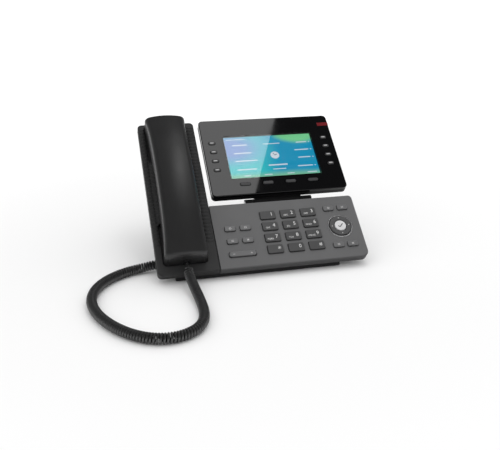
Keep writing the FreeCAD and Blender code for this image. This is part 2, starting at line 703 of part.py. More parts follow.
def base_screws():
    """Case screws of the lower case and the column back cover."""
    screws = [screw(place, PLATE_UNDER) for place in BOSS_PLACES + COLUMN_BOSS_PLACES[:1]]
    under = PLATE_TOP - BACK_COVER_DEPTH
    screws += [screw(place, under) for place in COLUMN_BOSS_PLACES[1:]]
    return Part.makeCompound(screws)


STAND_TOP_OUT = -TUB_DEPTH
STAND_FRONT_BACK = back_at(FOOT_HEIGHT + STAND_WALL, -TUB_DEPTH - STAND_WALL)


def foot_stand():
    """Stand clipped under the lower case: a sloping leaf, a rear leg, a toe and two side webs."""
    top_y = TUB_BACK.y
    top_z = up_at(top_y, STAND_TOP_OUT)
    floor = FOOT_HEIGHT
    front = STAND_FRONT_BACK
    thick = STAND_WALL
    drop = thick / math.cos(SLOPE)
    leg_slope = math.atan2(top_z - floor - thick, STAND_REACH - STAND_TOE - top_y)
    leg_drop = thick / math.cos(leg_slope)
    crest = min(drop, leg_drop)
    shape = [
        (front, up_at(front, STAND_TOP_OUT)),
        (top_y, top_z),
        (STAND_REACH - STAND_TOE, floor + thick),
        (STAND_REACH, floor + thick),
        (STAND_REACH, floor),
        (STAND_REACH - STAND_TOE - thick, floor),
        (top_y, top_z - crest),
        (front, up_at(front, STAND_TOP_OUT) - drop),
    ]
    left = TUB_LEFT + STAND_INSET
    right = TUB_RIGHT - STAND_INSET
    leaf = prism(shape, left, right)
    side = [
        (front, up_at(front, STAND_TOP_OUT)),
        (top_y, top_z),
        (STAND_REACH - STAND_TOE, floor + thick),
        (STAND_REACH - STAND_TOE, floor),
        (front, floor),
    ]
    for start in (left, right - thick):
        leaf = leaf.fuse(prism(side, start, start + thick))
    return one_solid(leaf)


def rubber_feet():
    """Two pads under the front of the lower case and two under the toe of the stand."""
    feet = []
    front = TUB_FRONT.y + FOOT_DEPTH
    toe = STAND_REACH - (STAND_TOE + FOOT_DEPTH) / 2
    left = TUB_LEFT + STAND_INSET
    right = TUB_RIGHT - STAND_INSET - FOOT_LENGTH
    for across in (left, right):
        for back in (front, toe):
            feet.append(plate(across, across + FOOT_LENGTH, back, back + FOOT_DEPTH, 0, FOOT_HEIGHT,
                              [FOOT_CORNER] * 4))
    return Part.makeCompound(feet)


def loudspeaker():
    """Round driver under the slots: a wide rim and a magnet behind it."""
    across = HANDSET_ACROSS
    rim = disc(across, HANDSET_MIDDLE, PANEL_UNDER - SPEAKER_RIM, PANEL_UNDER, SPEAKER_RADIUS)
    magnet = disc(across, HANDSET_MIDDLE, PANEL_UNDER - SPEAKER_HEIGHT, PANEL_UNDER - SPEAKER_RIM,
                  SPEAKER_MAGNET_RADIUS)
    return one_solid(rim.fuse(magnet))


# Display, drawn from its lower left front corner and then set on the deck
def on_display(shape):
    """Move a display piece to its place above the panel."""
    return moved(shape, DISPLAY_CORNER[0], DISPLAY_CORNER[1], DISPLAY_PROUD)


def line_key_places():
    """Places of the keys beside the screen, left column then right column, from the top."""
    columns = [LINE_KEY_INSET, DISPLAY_SIZE[0] - LINE_KEY_INSET]
    return [(p, LINE_KEY_TOP - row * LINE_KEY_PITCH) for p in columns for row in range(4)]


def soft_key_places():
    """Places of the keys under the screen."""
    return [(SOFT_KEY_START + index * SOFT_KEY_PITCH, SOFT_KEY_UP) for index in range(4)]


def pill(place, size, under, top, grow):
    """A long plate with round ends."""
    across, up = size[0] / 2 + grow, size[1] / 2 + grow
    return plate(place[0] - across, place[0] + across, place[1] - up, place[1] + up, under, top,
                 [up * ROUND_END] * 4)


def screen_plate(margin, under, top, corner):
    """A plate centred on the visible screen."""
    left, low = SCREEN_CORNER
    return plate(left - margin, left + SCREEN_SIZE[0] + margin, low - margin, low + SCREEN_SIZE[1] + margin,
                 under, top, [corner] * 4)


def light_bar(grow):
    """The message light at the right edge of the frame."""
    right = DISPLAY_SIZE[0]
    return block(right - LIGHT_SIZE[0] - grow, right, LIGHT_UP - grow, LIGHT_UP + LIGHT_SIZE[1] + grow,
                 -LIGHT_DEPTH - grow, 0)


def display_front_frame():
    """Glossy front: a flat face with a screen window, key openings and a shallow rim."""
    wide, high = DISPLAY_SIZE
    corner = DISPLAY_ROUND
    body = plate(0, wide, 0, high, -DISPLAY_FRAME_DEPTH, 0, [corner] * 4)
    body = body.makeFillet(DISPLAY_EDGE, edges_at_height(body, 0))
    room = plate(WALL, wide - WALL, WALL, high - WALL, -DISPLAY_FRAME_DEPTH - PAST, PANEL_UNDER,
                 [corner - WALL] * 4)
    body = body.cut(room)
    body = body.cut(screen_plate(LENS_MARGIN + SLIP, -LENS_THICK, PAST, LENS_CORNER + SLIP))
    body = body.cut(screen_plate(LEDGE_GAP, PANEL_UNDER - PAST, PAST, LENS_CORNER))
    for place in line_key_places():
        body = body.cut(pill(place, LINE_KEY, PANEL_UNDER - PAST, PAST, KEY_GAP))
    for place in soft_key_places():
        body = body.cut(pill(place, SOFT_KEY, PANEL_UNDER - PAST, PAST, KEY_GAP))
    notch = light_bar(SLIP).fuse(moved(light_bar(SLIP), PAST, 0, PAST))
    return one_solid(body.cut(notch))


def screen_lens():
    """Clear window that lies on the ledge of the front frame."""
    return screen_plate(LENS_MARGIN, -LENS_THICK, 0, LENS_CORNER)


LCD_FRONT = PANEL_UNDER - REST_GAP
DISPLAY_BOARD_FRONT = LCD_FRONT - LCD_THICK - LCD_GAP
STEM_UNDER = DISPLAY_BOARD_FRONT + SWITCH_HEIGHT + DISPLAY_KEY_TRAVEL
REAR_PLATE = -DISPLAY_THICK + WALL


def lcd_module():
    """Screen module behind the window."""
    return screen_plate(LCD_MARGIN, LCD_FRONT - LCD_THICK, LCD_FRONT, LENS_CORNER)


def display_board():
    """Board behind the screen that carries the switches of the display keys."""
    wide, high = DISPLAY_SIZE
    edge = WALL + BOARD_MARGIN
    return plate(edge, wide - edge, edge, high - edge, DISPLAY_BOARD_FRONT - BOARD_THICK,
                 DISPLAY_BOARD_FRONT, [DISPLAY_BOARD_CORNER] * 4)


def display_rear_cover():
    """Back of the display: a shallow tray, four board posts and the middle knuckle of the hinge."""
    wide, high = DISPLAY_SIZE
    rim = -DISPLAY_FRAME_DEPTH
    body = plate(0, wide, 0, high, -DISPLAY_THICK, rim, [DISPLAY_ROUND] * 4)
    body = body.makeFillet(COVER_ROUND, edges_at_height(body, -DISPLAY_THICK))
    room = plate(WALL, wide - WALL, WALL, high - WALL, REAR_PLATE, rim + PAST, [DISPLAY_ROUND - WALL] * 4)
    body = body.cut(room)
    inset = WALL + BOARD_MARGIN + BOSS_RADIUS
    for p in (inset, wide - inset):
        for q in (inset, high - inset):
            body = body.fuse(disc(p, q, REAR_PLATE - ROOT, DISPLAY_BOARD_FRONT - BOARD_THICK, BOSS_RADIUS))
    start = EAR_STARTS[0] + HINGE_EAR + HINGE_GAP
    length = HINGE_SPAN - 2 * HINGE_EAR - 2 * HINGE_GAP
    under = DISPLAY_PROUD - DISPLAY_THICK
    web = block(start, start + length, HINGE_UP, DISPLAY_CORNER[1] + WALL, HINGE_OUT - WALL,
                under + WALL)
    knuckle = barrel(start, length, HINGE_BARREL).fuse(web)
    body = on_display(body).fuse(knuckle)
    return one_solid(body.cut(barrel(start - PAST, length + 2 * PAST, HINGE_PIN_RADIUS + PIN_PLAY)))


def hinge_pin():
    """Steel pin through both ears and the knuckle."""
    return barrel(EAR_STARTS[0], HINGE_SPAN, HINGE_PIN_RADIUS)


def message_light():
    """Red light bar that wraps the right edge of the display."""
    return light_bar(0)


def display_key(place, size):
    """A small key of the display: rounded cap, flange under the frame and a short stem."""
    cap = pill(place, size, STEM_UNDER, DISPLAY_KEY_PROUD, 0)
    cap = cap.makeFillet(SMALL_KEY_EDGE, edges_at_height(cap, DISPLAY_KEY_PROUD))
    flange = pill(place, size, FLANGE_TOP - FLANGE_THICK, FLANGE_TOP, KEY_FLANGE)
    return one_solid(cap.fuse(flange))


# Handset, drawn on the deck with its length up the slope
def arc(first, middle, last):
    """An edge through three points."""
    return Part.Arc(first, middle, last).toShape()


def line(first, last):
    """A straight edge."""
    return Part.LineSegment(first, last).toShape()


def handset_section(up, reach, inset):
    """Rounded cross section of the handset, reach being its distance from the nearer end."""
    middle = (up - HANDSET_MIDDLE) / (HANDSET_LENGTH / 2)
    rise = HANDSET_GRIP_TOP - HANDSET_END_TOP
    bow = (HANDSET_LENGTH ** 2 / 4 + rise ** 2) / (2 * rise)
    crown = HANDSET_GRIP_TOP - bow + math.sqrt(bow ** 2 - (up - HANDSET_MIDDLE) ** 2)
    under = handset_under(HANDSET_LENGTH / 2 - abs(up - HANDSET_MIDDLE)) + inset
    waist = (HANDSET_END_WIDTH - HANDSET_GRIP_WIDTH) / 2
    half = HANDSET_GRIP_WIDTH / 2 + waist * middle ** WAIST_SHAPE - inset
    half -= end_round(reach, HANDSET_CORNER - inset)
    top = crown - inset - end_round(reach, HANDSET_END_ROUND - inset)
    under += end_round(reach, HANDSET_UNDER_ROUND)
    return crowned_outline(up, half, under, top, HANDSET_TOP_ROUND - inset / 2, HANDSET_CROWN - inset)


def end_round(reach, radius):
    """How far a rounded end has drawn in at a distance from its tip."""
    return radius - math.sqrt(radius ** 2 - (radius - reach) ** 2) if reach < radius else 0.0


def crowned_outline(up, half, under, top, shoulder_round, crown):
    """Upright outline centred on the handset: flat below, crowned above between two round shoulders."""
    low = HANDSET_UNDER_ROUND
    reach = half - shoulder_round
    rise = math.sqrt((crown - shoulder_round) ** 2 - reach ** 2)
    shoulder = top - crown + rise
    lean = crown / (crown - shoulder_round)
    turn = math.atan2(rise, reach) / 2
    cut = low * (1 - math.sqrt(0.5))
    outline = [
        (half - low, under),
        (half - cut, under + cut),
        (half, under + low),
        (half, shoulder),
        (reach + shoulder_round * math.cos(turn), shoulder + shoulder_round * math.sin(turn)),
        (reach * lean, top - crown + rise * lean),
    ]
    right = [vec(HANDSET_ACROSS + x, up, z) for x, z in outline]
    left = [vec(HANDSET_ACROSS - x, up, z) for x, z in outline]
    return Part.Wire([
        arc(right[0], right[1], right[2]),
        line(right[2], right[3]),
        arc(right[3], right[4], right[5]),
        arc(right[5], vec(HANDSET_ACROSS, up, top), left[5]),
        arc(left[5], left[4], left[3]),
        line(left[3], left[2]),
        arc(left[2], left[1], left[0]),
        line(left[0], right[0]),
    ])


def handset_form(inset):
    """Arched bar with rounded ends, lofted through cross sections and shrunk by an inset."""
    length = HANDSET_LENGTH - 2 * inset
    corner = HANDSET_CORNER - inset
    reaches = [corner * (1 - math.cos(math.radians(turn))) for turn in END_TURNS]
    between = (length / 2 - corner) / HALF_SECTIONS
    reaches += [corner + between * step for step in range(1, HALF_SECTIONS + 1)]
    sections = [handset_section(HANDSET_START + inset + reach, reach, inset) for reach in reaches]
    for reach in reversed(reaches[:-1]):
        sections.append(handset_section(HANDSET_END - inset - reach, reach, inset))
    return Part.makeLoft(sections, True, False)


def handset_shells():
    """Outer and inner half of the hollow handset, parted along an arched line."""
    hollow = handset_form(0).cut(handset_form(WALL))
    reach = HANDSET_END_WIDTH
    left = HANDSET_ACROSS - reach
    beyond = WALL * 4
    part_crest = (HANDSET_GRIP_TOP + HANDSET_GRIP_UNDER) / 2
    first = vec(left, HANDSET_START - beyond, HANDSET_PART_LINE)
    last = vec(left, HANDSET_END + beyond, HANDSET_PART_LINE)
    roof = 2 * HANDSET_GRIP_TOP
    above = Part.Face(Part.Wire([
        arc(first, vec(left, HANDSET_MIDDLE, part_crest), last),
        line(last, vec(left, last.y, roof)),
        line(vec(left, last.y, roof), vec(left, first.y, roof)),
        line(vec(left, first.y, roof), first)])).extrude(vec(2 * reach, 0, 0))
    back = hollow.common(above)
    front = hollow.cut(above).cut(handset_plug(JACK_FIT))
    for across, up in sound_holes():
        hole = disc(across, up, HANDSET_UNDER - PAST, HANDSET_UNDER + WALL + PAST, SOUND_HOLE_RADIUS)
        front = front.cut(hole)
    return one_solid(back), one_solid(front)


RECEIVER_UP = HANDSET_END - RECEIVER_REACH
MICROPHONE_UP = HANDSET_START + MICROPHONE_REACH


def sound_holes():
    """A ring of holes and a middle one over the receiver, three holes over the microphone."""
    holes = [(HANDSET_ACROSS, RECEIVER_UP)]
    for index in range(SOUND_RING_HOLES):
        turn = index * 2 * math.pi / SOUND_RING_HOLES
        across = HANDSET_ACROSS + SOUND_RING_RADIUS * math.cos(turn)
        holes.append((across, RECEIVER_UP + SOUND_RING_RADIUS * math.sin(turn)))
    holes += [(HANDSET_ACROSS + side * MICROPHONE_HOLE_PITCH, MICROPHONE_UP) for side in (-1, 0, 1)]
    return holes


def handset_capsules():
    """Receiver and microphone on the inner face of the front shell."""
    floor = HANDSET_UNDER + WALL + CAPSULE_GAP
    receiver = disc(HANDSET_ACROSS, RECEIVER_UP, floor, floor + RECEIVER_HEIGHT, RECEIVER_RADIUS)
    microphone = disc(HANDSET_ACROSS, MICROPHONE_UP, floor, floor + MICROPHONE_HEIGHT, MICROPHONE_RADIUS)
    return Part.makeCompound([receiver, microphone])


def handset_plug(grow):
    """Plug of the cord in the mouth end of the handset."""
    face = HANDSET_START - PLUG_PROUD
    return block(HANDSET_ACROSS - PLUG_SIZE[0] / 2 - grow, HANDSET_ACROSS + PLUG_SIZE[0] / 2 + grow,
                 face, face + PLUG_SIZE[2] + grow,
                 PLUG_UP - PLUG_SIZE[1] / 2 - grow, PLUG_UP + PLUG_SIZE[1] / 2 + grow)


# Curly cord
def route_points():
    """Whole route: out of the handset plug, the points chosen on the desk, into the base plug."""
    face = HANDSET_START - PLUG_PROUD
    first = [desk_point(HANDSET_ACROSS, face - run, PLUG_UP) for run in (0, HANDSET_LEAD_RUN)]
    edge = TUB_LEFT - BASE_PLUG_PROUD
    last = [vec(edge - run, BASE_PLUG_BACK, BASE_PLUG_UP) for run in (BASE_LEAD_RUN, 0)]
    return first + [vec(*point) for point in ROUTE] + last


def rounded_route(points):
    """Straight runs joined by the largest tangent arcs that the runs allow."""
    edges, radii = [], []
    here = points[0]
    for before, corner, after in zip(points, points[1:], points[2:]):
        back, ahead = before - corner, after - corner
        turn = math.pi - back.getAngle(ahead)
        reach = ARC_SHARE * min(back.Length, ahead.Length)
        radii.append(reach / math.tan(turn / 2))
        back.normalize()
        ahead.normalize()
        first, last = corner + back * reach, corner + ahead * reach
        inward = (back + ahead).normalize()
        middle = corner + inward * (radii[-1] / math.cos(turn / 2) - radii[-1])
        edges.append(line(here, first))
        edges.append(arc(first, middle, last))
        here = last
    edges.append(line(here, points[-1]))
    return edges, radii


def along(edges, distance):
    """Point and direction at a distance along the joined edges."""
    for edge in edges:
        if distance <= edge.Length or edge is edges[-1]:
            share = distance / edge.Length
            where = edge.FirstParameter + share * (edge.LastParameter - edge.FirstParameter)
            return edge.valueAt(where), edge.tangentAt(where)
        distance -= edge.Length


def curl_state(distance, curled, pitch):
    """Radius, its slope, turn and turning rate of the wire at a distance into the curled stretch."""
    inside = min(distance, curled - distance)
    share = min(inside / RAMP_LENGTH, 1.0)
    rate_share = smooth(share)[0] ** 2
    grown, slope = smooth(share / RISE_SHARE)
    turned = RAMP_LENGTH * ramp_turn(share) + max(inside - RAMP_LENGTH, 0)
    rising = 1
    if distance > curled / 2:
        turned = turning_length(curled) - turned
        rising = -1
    turn = 2 * math.pi * turned / pitch
    rate = 2 * math.pi * rate_share / pitch
    return CURL_RADIUS * grown, rising * CURL_RADIUS * slope / (RISE_SHARE * RAMP_LENGTH), turn, rate


def ramp_turn(share):
    """Turning gathered in a ramp whose rate grows as the square of the smooth ramp."""
    return 9 * share ** 5 / 5 - 2 * share ** 6 + 4 * share ** 7 / 7


def turning_length(curled):
    """Length that the curled stretch would have if it turned at its full rate all along."""
    return curled - 2 * RAMP_LENGTH * (1 - ramp_turn(1))


def curl_stations(edges, per_curl):
    """Points and directions of the wire at equal steps along the curled stretch of the route."""
    curled = sum(edge.Length for edge in edges) - 2 * LEAD_LENGTH
    pitch = turning_length(curled) / CURL_COUNT
    steps = round(curled / pitch * per_curl)
    stations = []
    side = ACROSS
    for step in range(steps + 1):
        distance = curled * step / steps
        point, ahead = along(edges, LEAD_LENGTH + distance)
        side = (side - ahead * side.dot(ahead)).normalize()
        other = ahead.cross(side)
        radius, slope, turn, rate = curl_state(distance, curled, pitch)
        outward = side * math.cos(turn) + other * math.sin(turn)
        round_way = other * math.cos(turn) - side * math.sin(turn)
        way = ahead + outward * slope + round_way * (radius * rate)
        stations.append((point + outward * radius, way.normalize()))
    return stations


def biarc(first, first_way, last, last_way):
    """Two arcs that leave one station and reach the next along their directions."""
    gap = last - first
    both = first_way + last_way
    spread = 2 - 2 * first_way.dot(last_way)
    if spread < 1e-6:
        return [line(first, last)]
    reach = (math.sqrt(gap.dot(both) ** 2 + spread * gap.dot(gap)) - gap.dot(both)) / spread
    inner, outer = first + first_way * reach, last - last_way * reach
    join = (inner + outer) * 0.5
    join_way = (outer - inner).normalize()
    return [arc(first, on_arc(first, first_way, join, join_way), join),
            arc(join, on_arc(join, join_way, last, last_way), last)]


def on_arc(first, first_way, last, last_way):
    """Middle point of the arc that is tangent to both directions."""
    turn = first_way.getAngle(last_way)
    chord = last - first
    bow = (first_way - last_way).normalize()
    return (first + last) * 0.5 + bow * (chord.Length / 2 * math.tan(turn / 4))


def least_self_gap(edges):
    """Smallest clear gap between stretches of the wire that lie more than two diameters apart along it."""
    points = [point for point, way in curl_stations(edges, 16)]
    run = [0.0]
    for first, last in zip(points, points[1:]):
        run.append(run[-1] + first.distanceToPoint(last))
    gap = points[0].distanceToPoint(points[-1])
    for index, point in enumerate(points):
        for later in range(index, min(index + 40, len(points))):
            if run[later] - run[index] > 2 * WIRE_DIAMETER:
                gap = min(gap, point.distanceToPoint(points[later]))
    return gap - WIRE_DIAMETER


def handset_cord():
    """One unbroken wire: a straight lead, the curls along the route, and a straight lead."""
    points = route_points()
    edges, radii = rounded_route(points)
    stations = curl_stations(edges, 4)
    whole = sum(edge.Length for edge in edges)
    places = [along(edges, share * LEAD_LENGTH) for share in (0, 0.5)] + stations
    places += [along(edges, whole - share * LEAD_LENGTH) for share in (0.5, 0)]
    path = []
    for (first, first_way), (last, last_way) in zip(places, places[1:]):
        path += biarc(first, first_way, last, last_way)
    profile = Part.Wire([Part.Circle(places[0][0], places[0][1], WIRE_DIAMETER / 2).toShape()])
    tube = Part.Wire(path).makePipeShell([profile], True, False)
    tube = Part.Solid(tube) if tube.ShapeType == "Shell" else tube
    length = sum(edge.Length for edge in path)
    bends = [edge.Curve.Radius for edge in path if hasattr(edge.Curve, "Radius")]
    print("cord route length", round(whole, 1), "route radii", [round(r, 1) for r in radii])
    print("cord wire length", round(length, 1), "least wire radius", round(min(bends), 2))
    print("cord least gap to itself", round(least_self_gap(edges), 2))
    print("cord volume over section times length",
          round(tube.Volume / (math.pi * (WIRE_DIAMETER / 2) ** 2 * length), 4))
    return tube


# Assembly: every piece by its name, in level desk coordinates
back_shell, front_shell = handset_shells()
pieces = {
    "cradle_cover": on_deck(cradle_cover()),
    "keypad_fascia": on_deck(keypad_fascia()),
    "base_bottom_shell": base_bottom_shell(),
    "column_back_cover": on_deck(column_back_cover()),
    "foot_stand": foot_stand(),
    "rubber_feet": rubber_feet(),
    "main_board": on_deck(main_board()),
    "key_membrane": on_deck(key_membrane()),
    "loudspeaker": on_deck(loudspeaker()),
    "jack_block": jack_block(),
    "base_screws": on_deck(base_screws()),
    "hinge_pin": on_deck(hinge_pin()),
    "nav_rocker": on_deck(nav_rocker()),
    "nav_ring": on_deck(nav_ring()),
    "ok_key": on_deck(ok_key()),
    "volume_bar": on_deck(volume_bar()),
    "display_front_frame": on_deck(on_display(display_front_frame())),
    "screen_lens": on_deck(on_display(screen_lens())),
    "lcd_module": on_deck(on_display(lcd_module())),
    "display_board": on_deck(on_display(display_board())),
    "display_rear_cover": on_deck(display_rear_cover()),
    "message_light": on_deck(on_display(message_light())),
    "handset_back_shell": on_deck(back_shell),
    "handset_front_shell": on_deck(front_shell),
    "handset_capsules": on_deck(handset_capsules()),
    "cord_plug_handset": on_deck(handset_plug(0)),
}
for name, place in zip(DIAL_NAMES, DIAL_PLACES):
    pieces["key_" + name] = on_deck(panel_key(place, DIAL_KEY))
for number, place in enumerate(FEATURE_PLACES, start=1):
    pieces["feature_key_%d" % number] = on_deck(panel_key(place, SIDE_KEY))
for name, place in zip(CORNER_NAMES, CORNER_PLACES):
    pieces["nav_key_" + name] = on_deck(panel_key(place, SIDE_KEY))
for number, place in enumerate(line_key_places()):
    side = "left" if number < 4 else "right"
    pieces["line_key_%s_%d" % (side, number % 4 + 1)] = on_deck(on_display(display_key(place, LINE_KEY)))
for number, place in enumerate(soft_key_places(), start=1):
    pieces["soft_key_%d" % number] = on_deck(on_display(display_key(place, SOFT_KEY)))

# The frame's origin lies under the middle of the phone without its cord, on the desk
box = Part.makeCompound(list(pieces.values())).optimalBoundingBox(False)
ORIGIN = vec((box.XMin + box.XMax) / 2, (box.YMin + box.YMax) / 2, 0)

pieces["cord_plug_base"] = base_plug(0)
pieces["handset_cord"] = handset_cord()

os.makedirs("parts", exist_ok=True)
for name, shape in pieces.items():
    shape.translate(ORIGIN * -1)
    shape.exportStep("parts/" + name + ".step")
print("pieces", len(pieces), "origin back from the front edge", round(ORIGIN.y, 3))
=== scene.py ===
"""Looks of a desk telephone: sloping base, tilting display and a handset on a curly cord."""

import bpy
import numpy as np
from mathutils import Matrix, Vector


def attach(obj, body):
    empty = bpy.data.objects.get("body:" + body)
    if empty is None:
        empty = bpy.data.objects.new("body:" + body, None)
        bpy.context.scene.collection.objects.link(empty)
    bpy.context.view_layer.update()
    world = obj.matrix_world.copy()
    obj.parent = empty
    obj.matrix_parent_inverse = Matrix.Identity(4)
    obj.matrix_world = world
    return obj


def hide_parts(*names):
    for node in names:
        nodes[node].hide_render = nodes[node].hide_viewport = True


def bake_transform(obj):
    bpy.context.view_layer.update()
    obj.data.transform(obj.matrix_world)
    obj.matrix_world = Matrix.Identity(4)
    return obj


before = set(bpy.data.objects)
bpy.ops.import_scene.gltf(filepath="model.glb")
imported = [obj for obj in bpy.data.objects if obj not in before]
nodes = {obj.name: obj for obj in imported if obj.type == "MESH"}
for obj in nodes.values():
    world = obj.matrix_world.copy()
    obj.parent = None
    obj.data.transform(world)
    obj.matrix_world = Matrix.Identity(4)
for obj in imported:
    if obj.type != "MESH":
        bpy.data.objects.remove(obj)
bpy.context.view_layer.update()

# Camera: a short studio lens at the phone's left front, looking a little down on it.
# It stands 0.78 m before the middle of the phone, turned 13.9 degrees to the right.
scene = bpy.context.scene
scene.view_settings.view_transform = "Standard"
camera_data = bpy.data.cameras.new("studio_camera")
camera_data.lens = 50.4
camera_data.sensor_width = 36.0
camera_data.clip_start = 0.01
camera = bpy.data.objects.new("studio_camera", camera_data)
scene.collection.objects.link(camera)
camera.location = (-0.19156, -0.77478, 0.32093)
camera_turn, camera_drop = np.radians(13.91), np.radians(19.97)
sight = Vector((np.sin(camera_turn) * np.cos(camera_drop), np.cos(camera_turn) * np.cos(camera_drop),
                -np.sin(camera_drop)))
camera.rotation_euler = sight.to_track_quat("-Z", "Y").to_euler()
scene.camera = camera


# Studio: a white seamless floor under an even white tent, and one narrow light card overhead.
# The display's gloss mirrors the card's straight edge, and the handset's crown catches its glow.
def grid_mesh(points):
    """Points and faces of an open sheet whose points lie in rows and columns."""
    index = np.arange(points.shape[0] * points.shape[1]).reshape(points.shape[:2])
    quads = np.stack([index[:-1, :-1], index[:-1, 1:], index[1:, 1:], index[1:, :-1]], axis=-1)
    return points.reshape(-1, 3), quads.reshape(-1, 4).tolist()


def piece(name, parts, material, smooth=False):
    """One object at the origin made of several (points, faces) parts, with its finish."""
    points = np.concatenate([part[0] for part in parts])
    starts = np.cumsum([0] + [len(part[0]) for part in parts])
    faces = [[int(start) + i for i in face] for start, part in zip(starts, parts) for face in part[1]]
    mesh = bpy.data.meshes.new(name)
    mesh.from_pydata(points.tolist(), [], faces)
    mesh.materials.append(material)
    if smooth:
        mesh.shade_smooth()
    made = bpy.data.objects.new(name, mesh)
    scene.collection.objects.link(made)
    return made


def feed(tree, value, socket):
    """Link a socket to another node's output, or set it to a plain number or colour."""
    if isinstance(value, bpy.types.NodeSocket):
        tree.links.new(value, socket)
    else:
        socket.default_value = value


def maths(tree, operation, *values):
    """One step of arithmetic on outputs or plain numbers."""
    step = tree.nodes.new("ShaderNodeMath")
    step.operation = operation
    for value, socket in zip(values, step.inputs):
        feed(tree, value, socket)
    return step.outputs[0]


def mapped(tree, value, low, high, at_low, at_high, course="SMOOTHSTEP"):
    """A value's stretch from low to high carried over to another stretch, and held level beyond it."""
    step = tree.nodes.new("ShaderNodeMapRange")
    step.interpolation_type = course
    tree.links.new(value, step.inputs["Value"])
    for name, level in (("From Min", low), ("From Max", high), ("To Min", at_low), ("To Max", at_high)):
        step.inputs[name].default_value = level
    return step.outputs["Result"]


def mixed(tree, factor, under, over):
    """A colour that goes from one to another as the factor goes from 0 to 1."""
    step = tree.nodes.new("ShaderNodeMix")
    step.data_type = "RGBA"
    for name, value in (("Factor", factor), ("A", under), ("B", over)):
        feed(tree, value, step.inputs[name])
    return step.outputs["Result"]


floor_white, floor_bounce, floor_half, floor_rows = (0.9, 0.9, 0.9, 1), (0.25, 0.25, 0.25, 1), 20, 5
glow_start, glow_end, glow_most = 0.25, 1.0, 0.2
floor_finish = bpy.data.materials.new("studio_floor")
floor_finish.use_nodes = True
tree = floor_finish.node_tree
tree.nodes.clear()
seen = tree.nodes.new("ShaderNodeLightPath")
paint = tree.nodes.new("ShaderNodeBsdfDiffuse")
tree.links.new(mixed(tree, seen.outputs["Is Diffuse Ray"], floor_white, floor_bounce), paint.inputs["Color"])
shown = maths(tree, "MAXIMUM", seen.outputs["Is Camera Ray"], seen.outputs["Is Glossy Ray"])
shown = maths(tree, "MAXIMUM", shown, seen.outputs["Is Transmission Ray"])
place = tree.nodes.new("ShaderNodeTexCoord")
reach = tree.nodes.new("ShaderNodeVectorMath")
reach.operation = "LENGTH"
tree.links.new(place.outputs["Object"], reach.inputs[0])
fade = mapped(tree, reach.outputs["Value"], glow_start, glow_end, 0.0, glow_most)
glow = tree.nodes.new("ShaderNodeEmission")
tree.links.new(maths(tree, "MULTIPLY", shown, fade), glow.inputs["Strength"])
both = tree.nodes.new("ShaderNodeAddShader")
tree.links.new(paint.outputs[0], both.inputs[0])
tree.links.new(glow.outputs[0], both.inputs[1])
sink = tree.nodes.new("ShaderNodeOutputMaterial")
tree.links.new(both.outputs[0], sink.inputs["Surface"])
span = np.linspace(-floor_half, floor_half, floor_rows)
floor_points = np.stack([*np.meshgrid(span, span), np.zeros((floor_rows, floor_rows))], axis=-1)
floor = piece("studio_floor", [grid_mesh(floor_points)], floor_finish)

card_data = bpy.data.lights.new("light_card", "AREA")
card_data.shape = "RECTANGLE"
card_data.size, card_data.size_y = 0.21, 0.56
card_data.energy = 0.87
card = bpy.data.objects.new("light_card", card_data)
card.location = (0.175, 0.052, 1.05)
card.rotation_euler = (0, 0, np.radians(-18.4))
card.visible_camera = False
scene.collection.objects.link(card)

world = bpy.data.worlds.new("studio_tent")
scene.world = world
world.use_nodes = True
tree = world.node_tree
tree.nodes.clear()
place = tree.nodes.new("ShaderNodeTexCoord")
split = tree.nodes.new("ShaderNodeSeparateXYZ")
tree.links.new(place.outputs["Generated"], split.inputs[0])
crown_height = 0.75


def tent_level(horizon, crown):
    """Brightness of the tent, eased from its horizon to its crown."""
    return mapped(tree, split.outputs["Z"], 0.0, crown_height, horizon, crown)


seen = tree.nodes.new("ShaderNodeLightPath")
chosen = tree.nodes.new("ShaderNodeMix")
tree.links.new(seen.outputs["Is Glossy Ray"], chosen.inputs["Factor"])
tree.links.new(tent_level(0.23, 1.2), chosen.inputs["A"])
tree.links.new(tent_level(0.4, 0.04), chosen.inputs["B"])
sky = tree.nodes.new("ShaderNodeBackground")
sky.inputs["Color"].default_value = (1, 1, 1, 1)
sky_level = maths(tree, "MAXIMUM", chosen.outputs["Result"], seen.outputs["Is Camera Ray"])
tree.links.new(sky_level, sky.inputs["Strength"])
sink = tree.nodes.new("ShaderNodeOutputWorld")
tree.links.new(sky.outputs[0], sink.inputs["Surface"])


# Curly cord: one black jacketed wire wound into close curls, with a short straight lead at each end.
# It leaves the mouth end of the handset, lies in a loop on the desk and plugs into the base's left side.
# The stretch by the handset is a piece of its own, apart from the stretch that stays with the base.
def rings_mesh(rings, loop=False):
    """Points and faces of closed outlines joined in turn; the ends are capped, or joined in a loop."""
    count, around = rings.shape[:2]
    index = np.arange(count * around).reshape(count, around)
    ahead = np.roll(index, -1, axis=0) if loop else index[1:]
    here = index if loop else index[:-1]
    quads = np.stack([here, np.roll(here, -1, 1), np.roll(ahead, -1, 1), ahead], axis=-1).reshape(-1, 4)
    caps = [] if loop else [index[0][::-1].tolist(), index[-1].tolist()]
    return rings.reshape(-1, 3), quads.tolist() + caps


cell_detail, patch_detail, patch_share = 3.0, 4.0, 0.012


